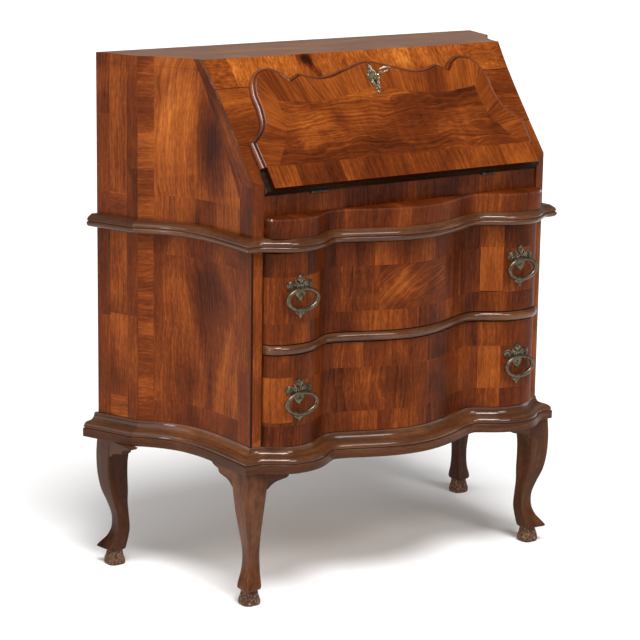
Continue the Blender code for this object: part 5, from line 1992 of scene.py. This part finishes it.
@dataclass
class Legs:
    """Cabriole legs with a spur above the hoof and two shaped ears under the base."""

    plan: CasePlan = PLAN
    front_x: float = 0.341
    front_depth: float = 0.363
    rear_x: float = 0.434
    rear_depth: float = 0.028
    ear_length: float = 0.072
    ear_height: float = 0.03
    ear_thick: float = 0.02
    spur_reach: float = 0.0085
    spur_share: float = 0.55
    hoof_height: float = 0.0285
    front_tone: float = 0.06
    # Painted shade: the rear legs are darker for the shadow they stand in.
    rear_painted_shade: float = -0.22
    round_points: int = 7
    station_steps: int = 5

    def stations(self) -> list[tuple[float, ...]]:
        """Height, width, outward lean, corner cut, diagonal stretch and spur of the sections.

        Returns:
            The sections from the floor up.
        """
        knots = (
            (0.0, 0.033, 0.0, 0.34, 1.0, 0.0), (0.003, 0.0365, 0.0, 0.34, 1.0, 0.0),
            (0.009, 0.036, 0.0005, 0.34, 1.0, 0.0), (0.017, 0.0315, 0.0005, 0.32, 1.0, 0.0),
            (0.024, 0.0275, 0.0, 0.28, 1.0, 0.0), (0.0285, 0.0268, 0.0, 0.22, 1.0, 0.0),
            (0.0305, 0.033, 0.0015, 0.2, 1.06, 0.7), (0.033, 0.0355, 0.0025, 0.18, 1.1, 1.0),
            (0.038, 0.035, 0.001, 0.16, 1.1, 0.85), (0.046, 0.032, -0.0025, 0.12, 1.1, 0.5),
            (0.057, 0.028, -0.0075, 0.09, 1.1, 0.15), (0.075, 0.0248, -0.0122, 0.08, 1.1, 0.0),
            (0.1, 0.0245, -0.0115, 0.08, 1.05, 0.0), (0.125, 0.028, -0.006, 0.08, 1.1, 0.0),
            (0.15, 0.033, -0.0005, 0.075, 1.2, 0.0), (0.18, 0.0393, 0.0034, 0.07, 1.12, 0.0),
            (0.21, 0.0448, 0.0042, 0.07, 1.03, 0.0), (0.235, 0.048, 0.0022, 0.05, 1.0, 0.0),
            (0.2587, 0.048, 0.0, 0.05, 1.0, 0.0),
        )
        rows = []
        for index in range(len(knots) - 1):
            around = [Vector(knots[min(max(index + k, 0), len(knots) - 1)]) for k in (-1, 0, 1, 2)]
            for step in range(self.station_steps):
                t = step / self.station_steps
                bend = ((around[2] - around[0]) * t
                        + (around[0] * 2 - around[1] * 5 + around[2] * 4 - around[3]) * t**2
                        + (around[1] * 3 - around[0] - around[2] * 3 + around[3]) * t**3)
                rows.append(tuple(around[1] + bend / 2))
        return [*rows, knots[-1]]

    def section(self, row: Sequence[float], diagonal: Vector) -> list[Vector]:
        """A rounded square, drawn out along a diagonal.

        Args:
            row: One station.
            diagonal: Unit step from the cabinet's middle to the leg.

        Returns:
            Points around the station's centre.
        """
        _, width, lean, cut, stretch, spur = row
        half, soft = width / 2, width * cut
        across = Vector((-diagonal.y, diagonal.x, 0))
        points = []
        for corner in range(4):
            centre = math.pi / 4 + corner * math.pi / 2
            for step in range(self.round_points):
                angle = centre + math.pi / 2 * (step / (self.round_points - 1) - 0.5)
                x = math.copysign(half - soft, math.cos(centre)) + soft * math.cos(angle)
                y = math.copysign(half - soft, math.sin(centre)) + soft * math.sin(angle)
                points.append(Vector((x, y, 0)))
        shaped = []
        for point in points:
            reach = point.dot(diagonal)
            point = point + diagonal * reach * (stretch - 1)
            ridge = max(0.0, 1 - abs(point.dot(across)) / (half * self.spur_share))
            if reach > 0:
                point += diagonal * spur * ridge * self.spur_reach
            shaped.append(point + diagonal * lean)
        return shaped

    def build(self) -> None:
        """Builds the four legs."""
        plan = self.plan
        spots = {"front": (self.front_x, self.front_depth, 1), "rear": (self.rear_x, self.rear_depth, -1)}
        for end, (x, depth, forward) in spots.items():
            for hand in Hand:
                diagonal = Vector((hand.value, -forward, 0)).normalized()
                foot = plan.place(Vector((x * hand.value, depth)), 0.0)
                sections = [[foot + Vector((0, 0, row[0])) + spot for spot in self.section(row, diagonal)]
                            for row in self.stations()]
                seed = 150 + hand.value + forward * 3
                # The rear legs take painted shade.
                tone = self.front_tone if end == "front" else self.rear_painted_shade
                leg = Sweep(sections, lambda along, tone=tone: (tone, 0.4), seed)
                for face in leg.mesh.faces:
                    if face.calc_center_median().z < self.hoof_height:
                        face.material_index = 1
                meshes = [leg.mesh]
                inset = self.stations()[-1][1] / 2 - self.ear_thick / 2
                along_x = (Matrix.Translation((foot.x, foot.y - forward * inset, 0))
                           @ Matrix.Scale(-hand.value, 4, (1, 0, 0)))
                along_y = (Matrix.Translation((foot.x + hand.value * inset, foot.y, 0))
                           @ Matrix.Rotation(forward * math.pi / 2, 4, "Z"))
                meshes += [self.ear(along_x, seed + 20), self.ear(along_y, seed + 40)]
                name = f"leg_{end}_{hand.label}"
                set_piece(f"{name}_wood", gather(meshes), [LEG_WOOD, WORN], "case", Slot.DARK, [name],
                          crease=38.0)

    def ear(self, place: Matrix, seed: int) -> Mesh:
        """A bracket with a cusped lower edge, along X from the knee.

        Args:
            place: Frame of the ear.
            seed: Seed of the place in the timber.

        Returns:
            The ear's mesh.
        """
        start = self.stations()[-1][1] / 2
        high = self.plan.leg_height - self.plan.gap
        shares = ((1.0, 0.0, True), (0.93, 0.14, False), (0.8, 0.26, False), (0.66, 0.34, True),
                  (0.62, 0.54, False), (0.44, 0.66, False), (0.26, 0.74, False), (0.1, 0.92, False),
                  (0.0, 1.12, True))
        knots = [Vector((start + self.ear_length * along, high - self.ear_height * drop))
                 for along, drop, _ in shares]
        line = rounded(knots, [sharp for _, _, sharp in shares], 4)
        inside = start - self.ear_thick / 2
        line += [Vector((inside, high - self.ear_height * 1.2)), Vector((inside, high))]
        mesh = bmesh.new()
        uv, _, figure = veneer_layers(mesh)
        face = mesh.faces.new([mesh.verts.new((point.x, -self.ear_thick / 2, point.y)) for point in line])
        extruded(mesh, [face], (0, self.ear_thick, 0))
        bmesh.ops.recalc_face_normals(mesh, faces=mesh.faces)
        shift = random.Random(seed).uniform(0, TIMBER)
        for face in mesh.faces:
            face[figure] = 0.4
            for loop in face.loops:
                spot = loop.vert.co
                loop[uv].uv = (spot.x + shift, spot.z + spot.y)
        bmesh.ops.transform(mesh, matrix=place, verts=mesh.verts)
        return mesh


@dataclass
class Pulls:
    """Cast back plates and the oval rings that hang in their eyes."""

    plan: CasePlan = PLAN
    x: float = 0.2614
    rises: tuple[float, float] = (0.586, 0.391)
    half_width: float = 0.033
    half_height: float = 0.0425
    thick: float = 0.002
    eye_lift: float = 0.015
    eye_reach: float = 0.007
    eye_root: float = 0.001
    eye_sink: float = 0.0028
    eye_radii: Point = (0.0046, 0.0032)
    scroll_middle: Point = (0.0212, 0.0195)
    scroll_start: float = 1.15
    scroll_turns: float = 1.35
    scroll_reach: float = 0.006
    scroll_shrink: float = 0.78
    scroll_squash: float = 0.85
    scroll_lift: float = 0.0006
    scroll_rod: float = 0.0013
    ring_half_width: float = 0.033
    ring_half_height: float = 0.0195
    ring_rod: float = 0.0039
    ring_y: float = -0.19785

    def face_depth(self, x: float) -> float:
        """Depth of the drawer front's face.

        Args:
            x: Distance from the centre line.

        Returns:
            The depth there.
        """
        plan = self.plan
        share = (plan.opening_half - plan.drawer_gap) / plan.opening_half
        return crossing([Vector((point.x * share, point.y)) for point in plan.drawer_line()], 0, x)

    def leaf(self, line: Sequence[Vector], rim: float, crown: float) -> Mesh:
        """A cast leaf with a raised, crowned middle.

        Args:
            line: Its outline.
            rim: Width of the sloping rim.
            crown: Height of the middle above the plate.

        Returns:
            The leaf's mesh, flat on the XY plane.
        """
        mesh = bmesh.new()
        face = mesh.faces.new([mesh.verts.new((point.x, point.y, 0)) for point in line])
        if face.normal.z < 0 or face.calc_area() == 0:
            face.normal_flip()
        made = extruded(mesh, [face], (0, 0, self.thick * 0.7))
        top = [item for item in made if isinstance(item, bmesh.types.BMFace)]
        bmesh.ops.recalc_face_normals(mesh, faces=mesh.faces)
        cap = [item for item in top if item.is_valid and item.normal.z > FACING]
        bmesh.ops.inset_region(mesh, faces=cap, thickness=rim * 0.5, depth=crown * 0.6, use_even_offset=True)
        cap = [item for item in cap if item.is_valid]
        bmesh.ops.inset_region(mesh, faces=cap, thickness=rim * 0.5, depth=crown * 0.4, use_even_offset=True)
        return mesh

    def ball(self, x: float, z: float, out: float, size: Sequence[float]) -> Mesh:
        """A cast boss.

        Args:
            x: Place across the plate.
            z: Place up the plate.
            out: Height of its centre above the drawer.
            size: Half sizes on the three axes of the plate.

        Returns:
            The boss's mesh, in the plate's frame.
        """
        mesh = bmesh.new()
        bmesh.ops.create_uvsphere(mesh, u_segments=14, v_segments=9, radius=1.0)
        bmesh.ops.scale(mesh, vec=size, verts=mesh.verts)
        bmesh.ops.translate(mesh, vec=(x, z, out), verts=mesh.verts)
        return mesh

    def scroll(self, side: int) -> Mesh:
        """A raised scroll on one wing of the plate.

        Args:
            side: -1 for the left wing, 1 for the right one.

        Returns:
            The scroll's mesh, in the plate's frame.
        """
        x, z = self.scroll_middle
        count = 30
        path = []
        for step in range(count + 1):
            share = step / count
            angle = math.pi * self.scroll_start - share * self.scroll_turns * 2 * math.pi
            reach = self.scroll_reach * (1 - self.scroll_shrink * share)
            path.append(Vector((side * (x + reach * math.cos(angle)),
                                z + reach * math.sin(angle) * self.scroll_squash,
                                self.thick + self.scroll_lift)))
        return tube(path, self.scroll_rod, 8)

    def plate(self) -> Mesh:
        """A back plate with finial, scrolled wings, knuckle, lozenge and separate drop.

        Returns:
            The plate's mesh, about its centre.
        """
        upper = ((0.0, 1.0, True), (0.1, 0.9, False), (0.24, 0.77, False), (0.2, 0.67, True),
                 (0.38, 0.72, False), (0.36, 0.58, True), (0.58, 0.67, False), (0.84, 0.6, False),
                 (0.88, 0.42, False), (0.7, 0.29, False), (0.52, 0.37, True), (0.48, 0.22, False),
                 (0.34, 0.2, True), (0.35, 0.08, False), (0.22, -0.06, False), (0.0, -0.24, True))
        lower = ((0.0, -0.52, True), (0.2, -0.56, False), (0.42, -0.58, True), (0.34, -0.72, False),
                 (0.16, -0.82, False), (0.0, -1.0, True))
        meshes = []
        for shares, rim in ((upper, 0.0022), (lower, 0.002)):
            meshes.append(self.leaf(mirrored(shares, self.half_width, self.half_height), rim, 0.0012))
        meshes += [self.scroll(-1), self.scroll(1)]
        bosses = [(across, 0.0185 - abs(across) * 0.12, 0.0012, (0.0024, 0.0042, 0.0022))
                  for across in (-0.0085, -0.0042, 0.0, 0.0042, 0.0085)]
        bosses += [(0.0, 0.031, 0.0, (0.004, 0.008, 0.002)), (0.0, 0.0, 0.0, (0.0055, 0.0065, 0.002)),
                   (0.0, -0.031, 0.0, (0.004, 0.006, 0.0018))]
        meshes += [self.ball(x, z, self.thick + out, size) for x, z, out, size in bosses]
        eye, length = bmesh.new(), self.eye_reach + self.eye_root
        bmesh.ops.create_cone(eye, cap_ends=True, segments=14, radius1=self.eye_radii[0],
                              radius2=self.eye_radii[1], depth=length)
        lift = self.thick + length / 2 - self.eye_sink
        bmesh.ops.translate(eye, vec=(0, self.eye_lift, lift), verts=eye.verts)
        meshes.append(eye)
        return gather(meshes)

    def ring(self, centre: Vector) -> Mesh:
        """An oval ring that hangs from its top point.

        Args:
            centre: Middle of the eye.

        Returns:
            The ring's mesh.
        """
        middle = centre - Vector((0, 0, self.ring_half_height))
        return oval(middle, (self.ring_half_width, self.ring_half_height), self.ring_rod, (48, 12), 0.16)

    def build(self) -> None:
        """Builds the four pulls."""
        for tier, rise in zip(Tier, self.rises):
            for hand in Hand:
                drawer = f"drawer_{tier.value}"
                x = self.x * hand.value
                mesh = self.plate()
                for vert in mesh.verts:
                    across, up, out = vert.co
                    depth = self.face_depth(x + across) + self.plan.gap + out
                    vert.co = self.plan.place(Vector((x + across, depth)), rise + up)
                name = f"{drawer}_{hand.label}"
                set_piece(f"{name}_cast_plate", mesh, [BRONZE], drawer, Slot.BRASS, [f"{name}_plate"],
                          crease=40.0)
                ring = self.ring(Vector((x, self.ring_y, rise + self.eye_lift)))
                set_piece(f"{name}_cast_ring", ring, [RING_BRONZE], f"ring_{tier.value}_{hand.label}",
                          Slot.BRASS, [f"{name}_ring"], crease=60.0)


def oval(centre: Vector, half: Point, rod: float, counts: tuple[int, int], swell: float = 0.0) -> Mesh:
    """An upright oval ring of round rod.

    Args:
        centre: Middle of the oval.
        half: Half width and half height of the rod's middle line.
        rod: Radius of the rod at the top.
        counts: Points along the oval and around the rod.
        swell: Share by which the rod is thicker at the foot.

    Returns:
        The ring's mesh.
    """
    sections = []
    for step in range(counts[0]):
        angle = 2 * math.pi * step / counts[0]
        spot = centre + Vector((half[0] * math.sin(angle), 0, half[1] * math.cos(angle)))
        out = Vector((math.sin(angle) * half[1], 0, math.cos(angle) * half[0])).normalized()
        thick = rod * (1 + swell * (1 - math.cos(angle)) / 2)
        section = []
        for turn in range(counts[1]):
            around = 2 * math.pi * turn / counts[1]
            section.append(spot + out * thick * math.cos(around) + Vector((0, thick * math.sin(around), 0)))
        sections.append(section)
    return Sweep(sections, ring=True).mesh


def tube(path: Sequence[Vector], rod: float, sides: int) -> Mesh:
    """A closed rod along a path in the XY plane, thinner at its ends.

    Args:
        path: Points of the middle line.
        rod: Radius.
        sides: Points around.

    Returns:
        The rod's mesh.
    """
    sections = []
    for index, point in enumerate(path):
        way = path[min(index + 1, len(path) - 1)] - path[max(index - 1, 0)]
        side = Vector((way.y, -way.x, 0)).normalized()
        end = min(index, len(path) - 1 - index)
        radius = rod * min(1.0, 0.45 + end * 0.25)
        section = []
        for step in range(sides):
            angle = 2 * math.pi * step / sides
            section.append(point + side * radius * math.cos(angle) + Vector((0, 0, radius * math.sin(angle))))
        sections.append(section)
    return Sweep(sections).mesh


@dataclass
class LockSet:
    """Pierced key plate on the raised panel and the key in it."""

    plan: CasePlan = PLAN
    drop: float = 0.0735
    seat: float = 0.0126
    thick: float = 0.0015
    half_width: float = 0.014
    half_height: float = 0.03
    shank: float = 0.0022
    reach: float = 0.03
    bow_half_width: float = 0.012
    bow_half_length: float = 0.009
    bow_rod: float = 0.0016
    bit: float = 0.007
    tip: float = -0.0246
    hole: float = 0.0034
    slot: float = 0.0105
    slot_half: float = 0.0021
    lining: float = 0.00016

    def outline(self) -> list[Vector]:
        """Shield outline of the key plate.

        Returns:
            Its points about the keyhole.
        """
        shares = ((0.0, 1.15, True), (0.2, 1.05, False), (0.3, 0.94, False), (0.28, 0.78, True),
                  (0.58, 0.66, False), (0.72, 0.46, True), (1.0, 0.36, False), (0.96, 0.08, False),
                  (0.66, -0.06, True), (0.6, -0.34, False), (0.36, -0.5, True), (0.42, -0.6, False),
                  (0.3, -0.72, True), (0.3, -0.84, False), (0.0, -1.02, True))
        return mirrored(shares, self.half_width, self.half_height)

    def keyhole(self) -> list[Vector]:
        """Outline of the keyhole: a round eye over a slot.

        Returns:
            Its points about the key's axis.
        """
        points, count = [], 14
        for step in range(count + 1):
            angle = math.radians(-65 + 310 * step / count)
            points.append(Vector((self.hole * math.cos(angle), self.hole * math.sin(angle))))
        foot = self.slot_half * 0.9
        return [*points, Vector((-foot, -self.slot)), Vector((foot, -self.slot))]

    def pierced(self) -> Mesh:
        """The key plate's blank with its real keyhole.

        Returns:
            The mesh, flat on the XY plane.
        """
        mesh = bmesh.new()
        edges = []
        for line in (self.outline(), self.keyhole()):
            verts = [mesh.verts.new((point.x, point.y, 0)) for point in line]
            edges += [mesh.edges.new(pair) for pair in zip(verts, verts[1:] + verts[:1])]
        bmesh.ops.triangle_fill(mesh, edges=edges, use_beauty=True)
        extruded(mesh, mesh.faces, (0, 0, self.thick))
        bmesh.ops.recalc_face_normals(mesh, faces=mesh.faces)
        caps = [face for face in mesh.faces if face.normal.z > FACING]
        bmesh.ops.inset_region(mesh, faces=caps, thickness=0.0011, depth=-0.0004, use_even_offset=True)
        return mesh

    def build(self) -> None:
        """Builds the key plate and the key."""
        caster = Pulls(thick=self.thick)
        meshes = [self.pierced()]
        bosses = ((0.0, 0.0285, 0.0024), (0.0085, 0.0115, 0.0028), (-0.0085, 0.0115, 0.0028),
                  (0.0, 0.0185, 0.003), (0.0058, -0.005, 0.0022), (-0.0058, -0.005, 0.0022),
                  (0.0, -0.0185, 0.0028), (0.0, -0.0255, 0.0022))
        for x, z, size in bosses:
            meshes.append(caster.ball(x, z, self.thick * 0.8, (size, size * 1.25, 0.0016)))
        mesh = gather(meshes)
        seat = self.plan.slope_frame() @ Matrix.Translation((0, -self.drop, self.seat))
        bmesh.ops.transform(mesh, matrix=seat, verts=mesh.verts)
        set_piece("key_plate_cast", mesh, [OLD_BRASS], "fall", Slot.BRASS, ["escutcheon"], crease=40.0)
        self.build_hole(seat)
        self.build_key(seat)

    def build_hole(self, seat: Matrix) -> None:
        """Builds the dark lock face that shows through the keyhole.

        Args:
            seat: Frame of the key plate.
        """
        mesh = bmesh.new()
        bmesh.ops.create_cone(mesh, cap_ends=True, segments=24, radius1=self.slot, radius2=self.slot,
                              depth=self.lining)
        bmesh.ops.translate(mesh, vec=(0, -self.slot * 0.3, -0.00012), verts=mesh.verts)
        bmesh.ops.transform(mesh, matrix=seat, verts=mesh.verts)
        set_piece("keyhole_lining", mesh, [IRON], "fall", Slot.IRON)

    def build_key(self, seat: Matrix) -> None:
        """Builds the key: shank with a collar, oval bow and bit.

        Args:
            seat: Frame of the key plate.
        """
        profile = ((self.tip, 0.0017), (self.tip + 0.0006, self.shank), (0.016, self.shank),
                   (0.0165, 0.0031), (0.018, 0.0034), (0.0195, 0.0031), (0.02, self.shank),
                   (self.reach - 0.003, self.shank * 0.95), (self.reach - 0.0015, 0.0029),
                   (self.reach, 0.0029), (self.reach + 0.001, 0.0018))
        count = 16
        turns = [2 * math.pi * step / count for step in range(count)]
        sections = []
        for out, radius in profile:
            sections.append([Vector((radius * math.cos(turn), radius * math.sin(turn), out))
                             for turn in turns])
        meshes = [Sweep(sections).mesh, self.bow()]
        bit = box((self.shank, self.bit, self.bit * 0.5), (0, -self.bit * 0.5, self.tip + self.bit * 0.3))
        bmesh.ops.bevel(bit, geom=bit.edges, offset=0.0002, offset_type="OFFSET", segments=2, profile=0.5,
                        affect="EDGES", material=-1)
        mesh = gather([*meshes, bit])
        bmesh.ops.transform(mesh, matrix=seat, verts=mesh.verts)
        set_piece("key_steel", mesh, [STEEL], "key", Slot.IRON, ["key"], crease=40.0)

    def bow(self) -> Mesh:
        """Oval bow of the key.

        Returns:
            The bow's mesh, in the key plate's frame.
        """
        middle = Vector((0, 0, self.reach + self.bow_half_length - self.bow_rod / 2))
        return oval(middle, (self.bow_half_width, self.bow_half_length), self.bow_rod, (40, 10))


def dress(node: str, finish: Finish) -> None:
    """Gives a node of the frame a finish.

    Args:
        node: Name of the node.
        finish: The finish.
    """
    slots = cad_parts[node].data.materials
    slots.clear()
    slots.append(finish.build())
    LOG.info("%s keeps its shape", node)


@dataclass
class Interior:
    """Finishes of the boards and fittings that keep their shapes."""

    def build(self) -> None:
        """Dresses the nodes."""
        groups = {
            PINE_ACROSS: ("bottom_board", "drawer_divider", "waist_board"),
            PINE_UP: ("back_panel",),
            WALNUT_ACROSS: ("writing_bed", "gallery_shelf"),
            WALNUT_DARK: ("slope_rail", "fall_board"),
            WALNUT_UP: ("gallery_divider_left", "gallery_divider_right"),
            IRON: ("strike_plate", "lock_case", "lock_bolt", "hinge_case_leaf_left", "hinge_case_leaf_right",
                   "hinge_pin_left", "hinge_pin_right", "hinge_fall_leaf_left", "hinge_fall_leaf_right"),
        }
        for finish, nodes in groups.items():
            for node in nodes:
                dress(node, finish)
        for tier in Tier:
            drawer = f"drawer_{tier.value}"
            for part in ("side_left", "side_right", "bottom"):
                dress(f"{drawer}_{part}", PINE_BACK)
            dress(f"{drawer}_back", PINE_ACROSS)


@dataclass
class Studio:
    """Pale floor, soft light and the photograph's camera."""

    yaw: float = 0.6146
    pitch: float = -0.2167
    roll: float = -0.0125
    eye: tuple[float, float, float] = (-2.5291, -3.38815, 1.4437)
    focal: float = 2211.63
    centre: Point = (296.13, 298.81)
    image: float = 640.0
    sensor: float = 36.0
    floor_half: float = 30.0
    floor_drop: float = 0.0002
    surround: float = 0.22
    lamps: tuple[tuple[str, float, float, float, float], ...] = (
        ("softbox", 2.5, 20.0, -22.0, 63.0), ("strip", 0.95, 20.0, 2.0, 40.0),
        ("window", 1.2, 60.0, -82.0, 38.0), ("sill", 0.55, 14.0, -82.0, 5.0))

    def build(self) -> None:
        """Sets the stage."""
        self.build_floor()
        self.build_light()
        self.build_camera()

    def build_floor(self) -> None:
        """Lays the floor."""
        mesh = bmesh.new()
        bmesh.ops.create_grid(mesh, x_segments=1, y_segments=1, size=self.floor_half)
        bmesh.ops.translate(mesh, vec=(0, 0, -self.floor_drop), verts=mesh.verts)
        data = bpy.data.meshes.new("floor")
        mesh.to_mesh(data)
        mesh.free()
        graph = Graph("floor_paper")
        place = graph.add("ShaderNodeTexCoord").outputs["Object"]
        mottle = graph.noise(graph.stretched(place, (3.0, 3.0, 3.0)), 2.0)
        graph.feed(graph.shader.inputs["Base Color"], graph.ramp(mottle, ((0.3, (0.9, 0.9, 0.9)),
                                                                        (0.7, (0.92, 0.92, 0.92)))))
        graph.plain(roughness=0.9, specular_ior_level=0.0)
        data.materials.append(graph.material)
        floor = bpy.data.objects.new("floor", data)
        bpy.context.scene.collection.objects.link(floor)

    def build_light(self) -> None:
        """Hangs the lights and sets the surroundings."""
        scene = bpy.context.scene
        scene.view_settings.view_transform = "Standard"
        world = bpy.data.worlds.new("surroundings")
        world.use_nodes = True
        backdrop = world.node_tree.nodes["Background"]
        backdrop.inputs["Color"].default_value = (1.0, 1.0, 1.0, 1.0)
        backdrop.inputs["Strength"].default_value = self.surround
        scene.world = world
        for name, energy, spread, azimuth, height in self.lamps:
            lamp = bpy.data.lights.new(name, "SUN")
            lamp.energy = energy
            lamp.angle = math.radians(spread)
            sun = bpy.data.objects.new(name, lamp)
            turn, rise = math.radians(azimuth), math.radians(height)
            level = math.cos(rise)
            towards = Vector((math.sin(turn) * level, -math.cos(turn) * level, math.sin(rise)))
            sun.rotation_euler = towards.to_track_quat("Z", "Y").to_euler()
            scene.collection.objects.link(sun)

    def build_camera(self) -> None:
        """Places the camera."""
        sin, cos = math.sin, math.cos
        forward = Vector((sin(self.yaw) * cos(self.pitch), cos(self.yaw) * cos(self.pitch), sin(self.pitch)))
        right = Vector((cos(self.yaw), -sin(self.yaw), 0))
        down = forward.cross(right)
        level = right * cos(self.roll) + down * sin(self.roll)
        plumb = down * cos(self.roll) - right * sin(self.roll)
        matrix = Matrix((level, -plumb, -forward)).transposed().to_4x4()
        matrix.translation = self.eye
        data = bpy.data.cameras.new("camera")
        data.sensor_width = self.sensor
        data.lens = self.focal * self.sensor / self.image
        data.shift_x = (self.image / 2 - self.centre[0]) / self.image
        data.shift_y = -(self.image / 2 - self.centre[1]) / self.image
        camera = bpy.data.objects.new("camera", data)
        camera.matrix_world = matrix
        bpy.context.scene.collection.objects.link(camera)
        bpy.context.scene.camera = camera


def main() -> None:
    """Builds the cabinet's looks and the studio."""
    logging.basicConfig(level=logging.INFO, format="%(message)s")
    parts = (Studio(), CaseSides(), PostStrips(), Mouldings(), Rails(), Slope(), Drawers(), Legs(), Pulls(),
             LockSet(), Interior())
    for part in parts:
        part.build()


if __name__ == "__main__":
    main()
